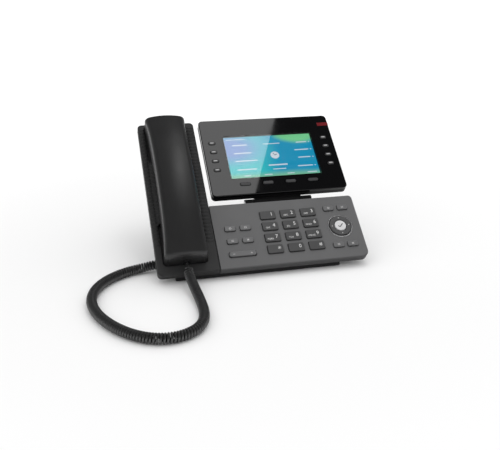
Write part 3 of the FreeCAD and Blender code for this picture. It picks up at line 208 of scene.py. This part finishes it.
def moulded_grain():
    """Mould texture: fine cells as bump height, and slow patches for tone and gloss."""
    group = bpy.data.node_groups.new("moulded_grain", "ShaderNodeTree")
    group.interface.new_socket("Scale", in_out="INPUT", socket_type="NodeSocketFloat")
    group.interface.new_socket("Height", in_out="OUTPUT", socket_type="NodeSocketFloat")
    group.interface.new_socket("Patch", in_out="OUTPUT", socket_type="NodeSocketFloat")
    inside, outside = group.nodes.new("NodeGroupInput"), group.nodes.new("NodeGroupOutput")
    where = group.nodes.new("ShaderNodeTexCoord")
    slow = maths(group, "MULTIPLY", inside.outputs["Scale"], patch_share)
    layers = ((inside.outputs["Scale"], cell_detail, "Height"), (slow, patch_detail, "Patch"))
    for scale, detail, name in layers:
        noise = group.nodes.new("ShaderNodeTexNoise")
        noise.inputs["Detail"].default_value = detail
        group.links.new(where.outputs["Object"], noise.inputs["Vector"])
        group.links.new(scale, noise.inputs["Scale"])
        group.links.new(noise.outputs["Fac"], outside.inputs[name])
    return group


grain = moulded_grain()
tone_spread, gloss_spread, bump_strength = 0.1, 0.04, 0.6
patch_low, patch_high = 0.3, 0.7


def moulded(name, colour, roughness, scale, depth, shine=0.5):
    """Moulded plastic or rubber: slightly uneven tone and gloss, and the grain of its mould."""
    material = bpy.data.materials.new(name)
    material.use_nodes = True
    tree = material.node_tree
    surface = tree.nodes["Principled BSDF"]
    surface.inputs["Specular IOR Level"].default_value = shine
    texture = tree.nodes.new("ShaderNodeGroup")
    texture.node_tree = grain
    texture.inputs["Scale"].default_value = scale
    darker, lighter = ([c * share for c in colour] + [1] for share in (1 - tone_spread, 1 + tone_spread))
    tree.links.new(mixed(tree, texture.outputs["Patch"], darker, lighter), surface.inputs["Base Color"])
    gloss = mapped(tree, texture.outputs["Patch"], patch_low, patch_high,
                   roughness - gloss_spread, roughness + gloss_spread, "LINEAR")
    tree.links.new(gloss, surface.inputs["Roughness"])
    bump = tree.nodes.new("ShaderNodeBump")
    bump.inputs["Distance"].default_value = depth
    bump.inputs["Strength"].default_value = bump_strength
    tree.links.new(texture.outputs["Height"], bump.inputs["Height"])
    tree.links.new(bump.outputs["Normal"], surface.inputs["Normal"])
    return material


def drawn(curve):
    """Points and faces of a curve or of words, as they are drawn out into a mesh."""
    holder = bpy.data.objects.new(curve.name, curve)
    mesh = bpy.data.meshes.new_from_object(holder)
    points = np.zeros(len(mesh.vertices) * 3)
    mesh.vertices.foreach_get("co", points)
    faces = [list(face.vertices) for face in mesh.polygons]
    bpy.data.objects.remove(holder)
    bpy.data.meshes.remove(mesh)
    return points.reshape(-1, 3), faces


def run_along(line):
    """Distance of each point along a line of points."""
    return np.r_[0, np.cumsum(np.linalg.norm(np.diff(line, axis=0), axis=1))]


def unit(vectors):
    """Vectors scaled to length one."""
    return vectors / np.linalg.norm(vectors, axis=-1, keepdims=True)


def eased(share):
    """A ramp from 0 to 1 with level ends."""
    share = np.clip(share, 0, 1)
    return share * share * (3 - 2 * share)


def resampled(values, run, at):
    """Columns of values, known at distances run, read at other distances."""
    return np.stack([np.interp(at, run, column) for column in values.T], axis=-1)


# The route is written in the deck's millimetres, from its left front corner on the desk
frame_across, frame_back = 122.0, 84.103
cord_route = (np.array([
    (32.0, 3.994, 23.481), (32.0, -5.462, 16.093), (33.9, -21.5, 9.9), (35.6, -41.0, 6.7), (36.2, -63.0, 5.7),
    (35.2, -84.0, 5.7), (30.0, -104.0, 5.7), (17.0, -119.0, 5.7), (-3.0, -125.5, 5.7), (-23.0, -121.0, 5.7),
    (-42.0, -106.0, 5.7), (-58.0, -83.0, 5.7), (-69.0, -56.0, 5.7), (-72.5, -28.0, 5.7), (-67.0, -2.0, 5.7),
    (-53.0, 20.0, 5.7), (-32.5, 36.0, 5.7), (-12.5, 42.3, 6.2), (3.0, 41.5, 9.0), (13.0, 41.5, 9.0)])
    - (frame_across, frame_back, 0)) / 1000
wire_radius, curl_radius, curl_count = 0.0013, 0.0042, 128
lead, ramp, rise_share, lifted_reach = 0.004, 0.007, 0.7, 0.112
route_samples, wire_rings, ring_points = 12000, 2600, 12

route_curve = bpy.data.curves.new("cord_route", "CURVE")
route_curve.dimensions = "3D"
route_spline = route_curve.splines.new("NURBS")
route_spline.points.add(len(cord_route) - 1)
route_spline.points.foreach_set("co", np.c_[cord_route, np.ones(len(cord_route))].ravel())
route_spline.order_u = 3
route_spline.use_endpoint_u = True
route_spline.resolution_u = 24
route_line = drawn(route_curve)[0]

# The wire turns about the route: its radius and its turning rate both rise from nothing behind each lead
route_run = run_along(route_line)
along = np.linspace(0, route_run[-1], route_samples)
middle = resampled(route_line, route_run, along)
ahead = unit(np.gradient(middle, axis=0))
side = unit(np.cross(ahead, (0, 0, 1)))
over = np.cross(side, ahead)
inside = np.minimum(along, along[-1] - along) - lead
rate = eased(inside / ramp) ** 2
angle = 2 * np.pi * curl_count * np.cumsum(rate) / rate.sum()
outward = side * np.cos(angle)[:, None] + over * np.sin(angle)[:, None]
wire = middle + outward * (curl_radius * eased(inside / (ramp * rise_share)))[:, None]
wire_run = run_along(wire)
steps = np.linspace(0, wire_run[-1], wire_rings)
centres = resampled(wire, wire_run, steps)
way = unit(np.gradient(centres, axis=0))
first = resampled(outward, wire_run, steps)
first = unit(first - way * np.sum(first * way, axis=1, keepdims=True))
second = np.cross(way, first)
spin = np.linspace(0, 2 * np.pi, ring_points, endpoint=False)
rings = centres[:, None] + wire_radius * (
    first[:, None] * np.cos(spin)[None, :, None] + second[:, None] * np.sin(spin)[None, :, None])

cord_black = moulded("cord_jacket", (0.023, 0.023, 0.0235), 0.28, 900, 0.00006, 1.0)
parting = int(np.searchsorted(np.interp(steps, wire_run, along), lifted_reach))
lifted_cord = piece("curly_cord_handset_end", [rings_mesh(rings[:parting + 1])], cord_black, smooth=True)
resting_cord = piece("curly_cord_base_end", [rings_mesh(rings[parting:])], cord_black, smooth=True)
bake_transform(lifted_cord)
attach(resting_cord, "base")
for stretch, exit_point, line, plug in (
        (lifted_cord, centres[0], centres[:parting + 1], "cord_plug_handset"),
        (resting_cord, centres[-1], centres[parting:], "cord_plug_base")):
    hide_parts("handset_cord")


# Cord plugs: small clear-black modular plugs, pushed into the handset's mouth end and the base's left side.
# They are moulded in one piece with a snap tongue.
def finish(material, *names):
    """Give solids of the phone their finish."""
    for name in names:
        nodes[name].data.materials.clear()
        nodes[name].data.materials.append(material)


plug_black = moulded("plug_black", (0.02, 0.02, 0.021), 0.18, 1200, 0.00001)
finish(plug_black, "cord_plug_handset", "cord_plug_base")

# Lower case, column back and stand: black moulded plastic halves screwed together from below.
# The stand clips under the case and carries the weight on a toe with two pads.
case_black = moulded("case_black", (0.008, 0.008, 0.0085), 0.5, 3200, 0.00003, 0.3)
finish(case_black, "base_bottom_shell", "column_back_cover", "foot_stand")

# Feet: four soft rubber pads that keep the phone from sliding.
# They are glued under the case front and the toe of the stand.
foot_rubber = moulded("foot_rubber", (0.012, 0.012, 0.012), 0.75, 1500, 0.00005)
finish(foot_rubber, "rubber_feet")

# Jacks: black modular sockets for the line, a computer, a headset and the handset.
# They are moulded nylon, soldered to the main board and flush with the case wall.
jack_black = moulded("jack_black", (0.014, 0.014, 0.015), 0.4, 2500, 0.00002)
finish(jack_black, "jack_block")

# Jack contacts: thin gilt wires that slope through each rear socket, eight in a wide one, four in the small.
# They are drawn wires laid side by side in the floor of the socket.
streak_stretch, streak_spread = (1, 8, 1), 0.05


def drawn_streaks():
    """Drawing marks of bare metal: noise that is finer along one way than along the others."""
    group = bpy.data.node_groups.new("drawn_streaks", "ShaderNodeTree")
    group.interface.new_socket("Brushing", in_out="INPUT", socket_type="NodeSocketFloat")
    group.interface.new_socket("Streak", in_out="OUTPUT", socket_type="NodeSocketFloat")
    inside, outside = group.nodes.new("NodeGroupInput"), group.nodes.new("NodeGroupOutput")
    where = group.nodes.new("ShaderNodeTexCoord")
    stretch = group.nodes.new("ShaderNodeMapping")
    stretch.inputs["Scale"].default_value = streak_stretch
    group.links.new(where.outputs["Object"], stretch.inputs["Vector"])
    noise = group.nodes.new("ShaderNodeTexNoise")
    group.links.new(stretch.outputs["Vector"], noise.inputs["Vector"])
    group.links.new(inside.outputs["Brushing"], noise.inputs["Scale"])
    group.links.new(noise.outputs["Fac"], outside.inputs["Streak"])
    return group


streaks = drawn_streaks()


def metal(name, colour, roughness, brushing):
    """Bare metal with fine drawn streaks across it, which vary its gloss."""
    material = bpy.data.materials.new(name)
    material.use_nodes = True
    tree = material.node_tree
    surface = tree.nodes["Principled BSDF"]
    surface.inputs["Metallic"].default_value = 1.0
    surface.inputs["Base Color"].default_value = (*colour, 1)
    texture = tree.nodes.new("ShaderNodeGroup")
    texture.node_tree = streaks
    texture.inputs["Brushing"].default_value = brushing
    gloss = mapped(tree, texture.outputs["Streak"], 0.0, 1.0,
                   roughness - streak_spread, roughness + streak_spread, "LINEAR")
    tree.links.new(gloss, surface.inputs["Roughness"])
    return material


def wire_part(start, end, radius, around=8):
    """A straight round wire from start to end: a circle carried along the line between them."""
    start, end = np.array(start), np.array(end)
    way = unit(end - start)
    first = unit(np.cross(way, (1.0, 0.0, 0.0)))
    spin = np.linspace(0, 2 * np.pi, around, endpoint=False)
    circle = radius * (np.cos(spin)[:, None] * first + np.sin(spin)[:, None] * np.cross(way, first))
    return rings_mesh(np.stack([start + circle, end + circle]))


gilt = metal("contact_gilt", (0.85, 0.62, 0.25), 0.25, 400)
case_back, jack_level = -0.013929, 0.036524
contact_pitch, contact_radius, contact_setback, contact_rise = 0.00102, 0.00022, 0.002, 0.4
rear_sockets = [(-0.042, 8, 0.0036, 0.0112), (-0.02, 8, 0.0036, 0.0112), (0.002, 4, 0.0029, 0.0092)]
contacts = []
for across, count, low, deep in rear_sockets:
    for index in range(count):
        x = across + (index - (count - 1) / 2) * contact_pitch
        contacts.append(wire_part((x, case_back - contact_setback, jack_level - low),
                                  (x, case_back - deep, jack_level + low * contact_rise), contact_radius))
jack_contacts = piece("jack_contacts", contacts, gilt, smooth=True)
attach(jack_contacts, "base")

# Screws and hinge pin: plain zinc-plated steel, turned and rolled.
# The screws are driven from below and from behind, and the pin is pressed through the hinge ears.
plated_steel = metal("plated_steel", (0.55, 0.55, 0.57), 0.32, 900)
finish(plated_steel, "base_screws", "hinge_pin")

# Loudspeaker and handset capsules: pressed steel frames, glued behind their slots and holes.
# Little of them shows from outside.
capsule_steel = metal("capsule_steel", (0.3, 0.3, 0.31), 0.4, 700)
finish(capsule_steel, "loudspeaker", "handset_capsules")

# Boards and key membrane: green laminate, and a moulded mat of grey silicone with a dome for each key.
# They are screwed down inside the closed case.
board_green = moulded("board_green", (0.02, 0.1, 0.04), 0.4, 2000, 0.00002)
finish(board_green, "main_board", "display_board")
silicone_grey = moulded("silicone_grey", (0.32, 0.32, 0.33), 0.6, 1500, 0.00002)
finish(silicone_grey, "key_membrane")

# Cradle: the dark charcoal column cover, one moulding with two wells and loudspeaker slots.
# Fine level ribs are moulded into its face on both sides of the handset.
deck_slope, deck_front = np.radians(38.0), 13.0


def on_deck(across, up, out):
    """Points measured in millimetres across, up and out of the sloping deck, in the phone's frame."""
    across, up, out = np.broadcast_arrays(across, up, out)
    back = up * np.cos(deck_slope) - out * np.sin(deck_slope) - frame_back
    high = up * np.sin(deck_slope) + out * np.cos(deck_slope) + deck_front
    return np.stack([across - frame_across, back, high], axis=-1) / 1000


cradle_charcoal = moulded("cradle_charcoal", (0.04, 0.04, 0.0405), 0.5, 3000, 0.00004, 0.3)
finish(cradle_charcoal, "cradle_cover")
rib_pitch, rib_height, rib_root, rib_film = 5.0, 1.0, -0.15, 0.04
rib_fade, rib_inset, rib_rows = 4, 0.25, 12
outer_ribs, inner_ribs = (36, 205), (72, 150)


def rib_strip(left, right, start, end):
    """Ribs across a strip: a low flat outline whose top rises and falls as a cosine up the slope."""
    up = np.linspace(start, end, int((end - start) / rib_pitch * rib_rows))
    wave = 0.5 - 0.5 * np.cos(2 * np.pi * up / rib_pitch)
    top = rib_film + rib_height * wave * eased((up - start) / rib_fade) * eased((end - up) / rib_fade)
    across = np.array([left, left + rib_inset, right - rib_inset, right, right, left])
    raised = np.array([0.0, 1.0, 1.0, 0.0, 0.0, 0.0])
    sunk = np.array([0.0, 0.0, 0.0, 0.0, rib_root, rib_root])
    out = top[:, None] * raised[None] + sunk[None]
    return rings_mesh(on_deck(across[None], up[:, None], out)[:, ::-1])


rib_strips = [rib_strip(1.9, 6.6, *outer_ribs), rib_strip(57.5, 67.2, *outer_ribs),
              rib_strip(6.6, 17.0, *inner_ribs), rib_strip(47.0, 57.5, *inner_ribs)]
cradle_ribs = piece("cradle_ribs", rib_strips, cradle_charcoal, smooth=True)
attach(cradle_ribs, "base")

# Keypad panel: a mid-grey moulding with a fine matt grain and an opening for every key.
# It clips over the front of the lower case, beside the column.
panel_grey = moulded("panel_grey", (0.141, 0.141, 0.143), 0.5, 2600, 0.00005, 0.3)
finish(panel_grey, "keypad_fascia")

# Dial keys: dark satin caps on the silicone domes of the membrane.
# Each has a printed digit at its right, and most have letters low at their left.
dial_charcoal = moulded("dial_charcoal", (0.078, 0.078, 0.079), 0.4, 2800, 0.00002, 0.4)
key_print = moulded("key_print", (0.78, 0.78, 0.77), 0.5, 4000, 0.00001)
key_top, print_lift = 1.8, 0.03
dial_across, dial_up, dial_pitch_across, dial_pitch_up = 159.5, 42.2, 24.6, 15.2
digit_size, digit_right, digit_rise = 6.4, 4.6, 0.5
star_size, star_drop = 9.0, 1.6
letter_size, letter_left, letter_drop = 3.0, 3.0, 2.2


def printed(words, size, across, up, out):
    """Words printed on the deck: glyphs of a plain face, a film's thickness tall, centred on a place."""
    text = bpy.data.curves.new("print", "FONT")
    text.body = words
    text.size = size
    text.align_x, text.align_y = "CENTER", "CENTER"
    text.extrude = print_lift / 2
    text.resolution_u = 3
    flat, faces = drawn(text)
    return on_deck(flat[:, 0] + across, flat[:, 1] + up, flat[:, 2] + out + print_lift / 2), faces


dial_legends = {
    "1": ("1", ""), "2": ("2", "ABC"), "3": ("3", "DEF"),
    "4": ("4", "GHI"), "5": ("5", "JKL"), "6": ("6", "MNO"),
    "7": ("7", "PQRS"), "8": ("8", "TUV"), "9": ("9", "WXYZ"),
    "star": ("*", ""), "0": ("0", ""), "hash": ("#", "")}
for order, (name, (digit, letters)) in enumerate(dial_legends.items()):
    key = "key_" + name
    finish(dial_charcoal, key)
    across = dial_across + (order % 3 - 1) * dial_pitch_across
    up = dial_up + (1.5 - order // 3) * dial_pitch_up
    size, drop = (star_size, star_drop) if digit == "*" else (digit_size, 0.0)
    parts = [printed(digit, size, across + digit_right, up + digit_rise - drop, key_top)]
    if letters:
        parts.append(printed(letters, letter_size, across - letter_left, up - letter_drop, key_top))
    legend = piece("legend_" + key, parts, key_print)
    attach(legend, key)

# Feature keys, navigation corner keys and volume bar: caps in the panel's grey with a smoother face.
# Each carries a small printed sign made of bars and rings.
key_grey = moulded("key_grey", (0.15, 0.15, 0.153), 0.34, 3600, 0.00001)
sign_print = moulded("sign_print", (0.62, 0.62, 0.61), 0.5, 4000, 0.00001)


def bar(across, up, long, high, out, turn=0.0, around=16):
    """A printed bar with round ends: a stadium outline, turned on the deck, a film's thickness tall."""
    spin = np.linspace(0, 2 * np.pi, around, endpoint=False)
    straight = max(long - high, 0) / 2
    x = np.cos(spin) * high / 2 + np.where(np.cos(spin) >= 0, straight, -straight)
    y = np.sin(spin) * high / 2
    tilt = np.radians(turn)
    x, y = across + x * np.cos(tilt) - y * np.sin(tilt), up + x * np.sin(tilt) + y * np.cos(tilt)
    return rings_mesh(np.stack([on_deck(x, y, out), on_deck(x, y, out + print_lift)]))


def strokes(across, up, out, sign):
    """Bars of a sign, each by its place right of and above the sign's middle, length, thickness and turn."""
    return [bar(across + right, up + above, long, high, out, turn) for right, above, long, high, turn in sign]


def hoop(across, up, radius, thick, out, tall, around=48, arc=7):
    """A ring on the deck: a half-round section carried round a circle."""
    spin = np.linspace(0, 2 * np.pi, around, endpoint=False)
    section = np.linspace(np.pi, 0, arc)
    reach = radius + np.cos(section) * thick / 2
    rise = np.sin(section) * tall
    x = across + np.cos(spin)[:, None] * reach[None]
    y = up + np.sin(spin)[:, None] * reach[None]
    return rings_mesh(on_deck(x, y, out + np.broadcast_to(rise, x.shape)), loop=True)


ring_radius, ring_thick = 1.1, 0.45
two_posts = [(-0.8, 0.0, 2.6, 0.6, 90), (0.8, 0.0, 2.6, 0.6, 90)]
two_lines = [(0.0, 0.8, 3.0, 0.5, 0), (0.0, -0.6, 3.0, 0.5, 0)]
cross = [(0.0, 0.0, 3.2, 0.6, 45), (0.0, 0.0, 3.2, 0.6, -45)]
side_keys = {
    "feature_key_1": (87.85, 50.7), "feature_key_2": (105.75, 50.7),
    "feature_key_3": (87.85, 34.1), "feature_key_4": (105.75, 34.1),
    "nav_key_upper_left": (210.2, 67.6), "nav_key_upper_right": (227.4, 67.6),
    "nav_key_lower_left": (210.2, 17.2), "nav_key_lower_right": (227.4, 17.2)}
for order, (key, (across, up)) in enumerate(side_keys.items()):
    finish(key_grey, key)
    signs = [[hoop(across, up, ring_radius, ring_thick, key_top, print_lift)]]
    signs += [strokes(across, up, key_top, sign) for sign in (two_posts, two_lines, cross)]
    sign = piece("sign_" + key, signs[order % 4], sign_print)
    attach(sign, key)

finish(key_grey, "volume_bar")
volume_up, minus_across, plus_across = 17.0, 86.5, 106.7
minus = [(0.0, 0.0, 2.4, 0.5, 0)]
plus = minus + [(0.0, 0.0, 2.4, 0.5, 90)]
volume_signs = strokes(minus_across, volume_up, key_top, minus)
volume_signs += strokes(plus_across, volume_up, key_top, plus)
volume_sign = piece("sign_volume_bar", volume_signs, sign_print)
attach(volume_sign, "volume_bar")

# Navigation ring: a dark satin ring that rocks four ways on a gimbal, inside a bright pressed trim.
# Four small printed pointers show its ways; the silver lacquered key in its middle has a dark tick.
ring_dark = moulded("ring_dark", (0.092, 0.092, 0.094), 0.36, 2800, 0.00002)
finish(ring_dark, "nav_ring", "nav_rocker")
trim_bright = metal("trim_bright", (0.82, 0.82, 0.83), 0.34, 300)
nav_across, nav_up = 218.8, 42.4
trim_radius, trim_wide, trim_root, trim_tall = 14.25, 1.6, -0.05, 0.9
trim_hoop = hoop(nav_across, nav_up, trim_radius, trim_wide, trim_root, trim_tall)
trim = piece("nav_trim", [trim_hoop], trim_bright, smooth=True)
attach(trim, "base")
pointer_reach, pointer_size = 10.2, 0.9


def pointer(turn):
    """A printed triangle on the ring that points outwards at a turn about its middle."""
    corner = np.radians(turn) + np.array([0, 2 * np.pi / 3, -2 * np.pi / 3])
    x = nav_across + pointer_reach * np.cos(np.radians(turn)) + np.cos(corner) * pointer_size
    y = nav_up + pointer_reach * np.sin(np.radians(turn)) + np.sin(corner) * pointer_size
    return rings_mesh(np.stack([on_deck(x, y, key_top), on_deck(x, y, key_top + print_lift)]))


pointers = piece("nav_pointers", [pointer(turn) for turn in (0, 90, 180, 270)], sign_print)
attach(pointers, "nav_ring")
key_silver = moulded("key_silver", (0.72, 0.72, 0.73), 0.28, 3600, 0.00001)
finish(key_silver, "ok_key")
tick_sign = [(1.1, 0.2, 6.0, 1.2, 47), (-1.8, -1.1, 2.9, 1.2, -44)]
tick = piece("sign_ok_key", strokes(nav_across, nav_up, key_top, tick_sign), ring_dark)
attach(tick, "ok_key")

# Display: a glossy black front frame and a satin rear cover that clip together and tilt on the hinge.
# The gloss is a polished moulding with a trace of haze.
display_gloss = moulded("display_gloss", (0.0035, 0.0035, 0.004), 0.06, 1500, 0.0)
finish(display_gloss, "display_front_frame")
finish(case_black, "display_rear_cover")

# Screen window: a clear flat pane of hardened glass, bonded into the frame's ledge.
# The dark screen module is clamped behind it.
pane = bpy.data.materials.new("window_pane")
pane.use_nodes = True
pane_surface = pane.node_tree.nodes["Principled BSDF"]
pane_surface.inputs["Base Color"].default_value = (0.97, 0.98, 0.98, 1)
pane_surface.inputs["Roughness"].default_value = 0.0
pane_surface.inputs["IOR"].default_value = 1.45
pane_surface.inputs["Transmission Weight"].default_value = 1.0
finish(pane, "screen_lens")
module_black = moulded("module_black", (0.01, 0.01, 0.011), 0.3, 2000, 0.00001)
finish(module_black, "lcd_module")

# Screen picture: soft fields of colour on the lit panel, lavender and teal at the left, blue in the middle,
# green at the top right and along the bottom, drawn in the picture's own across-and-up coordinates.
display_across, display_up, display_out = 74.8, 95.0, 2.8
screen_left, screen_low = display_across + 27.9, display_up + 24.6
screen_wide, screen_high, screen_level, screen_spare = 110.7, 62.3, display_out - 2.1, 0.8
share = np.linspace(0, 1, 9)
share_across, share_up = np.meshgrid(share, share)
spare_across, spare_up = screen_spare / screen_wide, screen_spare / screen_high
picture_points = on_deck(screen_left + screen_wide * (share_across * (1 + 2 * spare_across) - spare_across),
                         screen_low + screen_high * (share_up * (1 + 2 * spare_up) - spare_up), screen_level)

picture_light = bpy.data.materials.new("screen_picture")
picture_light.use_nodes = True
tree = picture_light.node_tree
lit = tree.nodes["Principled BSDF"]
lit.inputs["Base Color"].default_value = (0.004, 0.004, 0.005, 1)
lit.inputs["Roughness"].default_value = 0.4
lit.inputs["Emission Strength"].default_value = 1.0
chart = tree.nodes.new("ShaderNodeUVMap")
chart.uv_map = "screen"
axes = tree.nodes.new("ShaderNodeSeparateXYZ")
tree.links.new(chart.outputs["UV"], axes.inputs[0])
drift = tree.nodes.new("ShaderNodeTexNoise")
drift.inputs["Scale"].default_value = 2.2
drift.inputs["Detail"].default_value = 0.0
tree.links.new(chart.outputs["UV"], drift.inputs["Vector"])


def softened(source, low, high, drift_share):
    """Mask that rises from 0 to 1 between two levels of a source, with its edge bent by slow noise."""
    bent = maths(tree, "MULTIPLY_ADD", drift.outputs["Fac"], drift_share, source)
    return mapped(tree, bent, low + drift_share / 2, high + drift_share / 2, 0.0, 1.0)


def within(radius, across, up):
    """How far inside a circle of the picture a point lies: the radius less the distance from its middle."""
    measure = tree.nodes.new("ShaderNodeVectorMath")
    measure.operation = "DISTANCE"
    tree.links.new(chart.outputs["UV"], measure.inputs[0])
    measure.inputs[1].default_value = (across, up, 0)
    return maths(tree, "SUBTRACT", radius, measure.outputs["Value"])


teal, blue, lavender = (0.01, 0.48, 0.51, 1), (0.0, 0.27, 0.47, 1), (0.18, 0.29, 0.58, 1)
corner_green, foot_green, foot_reach = (0.16, 0.57, 0.26, 1), (0.17, 0.48, 0.30, 1), 0.2
field = mixed(tree, softened(axes.outputs["X"], 0.3, 0.62, 0.12), teal, blue)
field = mixed(tree, softened(within(0.62, 0.05, 0.72), 0.1, 0.5, 0.1), field, lavender)
field = mixed(tree, softened(within(0.4, 0.84, 1.06), 0.08, 0.2, 0.1), field, corner_green)
near_foot = maths(tree, "SUBTRACT", foot_reach, axes.outputs["Y"])
field = mixed(tree, softened(near_foot, 0.02, 0.2, 0.06), field, foot_green)
tree.links.new(field, lit.inputs["Emission Color"])

picture = piece("screen_picture", [grid_mesh(picture_points)], picture_light)
chart_layer = picture.data.uv_layers.new(name="screen")
corner_index = np.zeros(len(picture.data.loops), dtype=np.int32)
picture.data.loops.foreach_get("vertex_index", corner_index)
chart_layer.data.foreach_set("uv", np.c_[share_across.ravel(), share_up.ravel()][corner_index].ravel())
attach(picture, "display")

# Screen signs: label bars beside each key, a plain clock in the middle and soft labels along the foot.
# They stand for lit pixels, a hair above the picture.
sign_light = bpy.data.materials.new("screen_signs")
sign_light.use_nodes = True
tree = sign_light.node_tree
lit = tree.nodes["Principled BSDF"]
lit.inputs["Base Color"].default_value = (0.01, 0.01, 0.01, 1)
lit.inputs["Emission Strength"].default_value = 0.8
where = tree.nodes.new("ShaderNodeTexCoord")
pixels = tree.nodes.new("ShaderNodeTexNoise")
pixels.inputs["Scale"].default_value = 900
tree.links.new(where.outputs["Object"], pixels.inputs["Vector"])
tint = mixed(tree, pixels.outputs["Fac"], (0.55, 0.7, 0.85, 1), (0.95, 0.98, 1.0, 1))
tree.links.new(tint, lit.inputs["Emission Color"])
dark_sign = moulded("clock_hands", (0.02, 0.05, 0.1), 0.4, 2000, 0.0)
sign_level, hand_level = screen_level + 0.03, screen_level + 0.08


def on_screen(left, right, up, high):
    """A bar between two shares of the picture's width at a share of its height."""
    long = (right - left) * screen_wide
    return bar(screen_left + (left + right) / 2 * screen_wide, screen_low + up * screen_high, long, high,
               sign_level)


label_start, label_end, arrow_start, arrow_end = 0.08, 0.945, 0.965, 0.98
left_rows = [(0.80, 0.25), (0.60, 0.28), (0.41, 0.33), (0.20, 0.30)]
right_rows = [(0.80, 0.82), (0.61, 0.78), (0.42, 0.80), (0.21, 0.77)]
middle_bars = [(0.02, 0.24, 0.945, 1.0), (0.43, 0.63, 0.80, 1.2),
               (0.44, 0.66, 0.27, 1.9), (0.48, 0.63, 0.17, 1.3)]
soft_labels, soft_label_up = [(0.14, 0.22), (0.37, 0.46), (0.63, 0.71), (0.86, 0.97)], 0.05
marks = [on_screen(label_start, end, up, 1.7) for up, end in left_rows]
marks += [on_screen(start, label_end, up, 1.5) for up, start in right_rows]
marks += [on_screen(arrow_start, arrow_end, up, 1.6) for up, start in right_rows]
marks += [on_screen(*middle_bar) for middle_bar in middle_bars]
marks += [on_screen(start, end, soft_label_up, 1.3) for start, end in soft_labels]
clock_across, clock_up, clock_size = screen_left + 0.54 * screen_wide, screen_low + 0.51 * screen_high, 11.0
marks.append(bar(clock_across, clock_up, clock_size, clock_size, sign_level))
screen_signs = piece("screen_signs", marks, sign_light)
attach(screen_signs, "display")
hands = [(1.3, 0.6, 3.4, 0.7, 25), (-0.9, 1.5, 4.2, 0.6, 120)]
clock_hands = piece("screen_clock_hands", strokes(clock_across, clock_up, hand_level, hands), dark_sign)
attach(clock_hands, "display")

# Message light: a deep red translucent bar, dark while no message waits.
# It is a clear moulding let into the display frame's right edge.
light_red = moulded("light_red", (0.17, 0.006, 0.01), 0.2, 1500, 0.0)
finish(light_red, "message_light")

# Line and soft keys: small dark moulded caps beside and below the screen, held in the display's frame.
# Each line key carries a light grey dash across its top: a painted highlight that stands in for the glint
# along the key, not a printed legend.
display_key_dark = moulded("display_key_dark", (0.045, 0.045, 0.047), 0.38, 3000, 0.00001)
# The dash colour is a painted highlight laid on each line key's top.
dash_painted_highlight = moulded("dash_painted_highlight", (0.5, 0.5, 0.5), 0.4, 4000, 0.0, 0.3)
display_key_top = display_out + 0.8
line_key_columns, line_key_up, line_key_pitch = {"left": 12.0, "right": 155.3}, 78.4, 13.6
dash_rise, dash_long, dash_high = 0.3, 4.6, 1.5
for name, across in line_key_columns.items():
    for row in range(4):
        key = "line_key_%s_%d" % (name, row + 1)
        finish(display_key_dark, key)
        up = display_up + line_key_up - line_key_pitch * row + dash_rise
        dash = bar(display_across + across, up, dash_long, dash_high, display_key_top)
        mark = piece("dash_" + key, [dash], dash_painted_highlight)
        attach(mark, key)
finish(display_key_dark, *["soft_key_%d" % (number + 1) for number in range(4)])

# Handset: two black satin mouldings closed along an arched seam.
# They snap together round the receiver and the microphone.
handset_black = moulded("handset_black", (0.019, 0.019, 0.0195), 0.38, 3000, 0.00002, 0.7)
finish(handset_black, "handset_back_shell", "handset_front_shell")
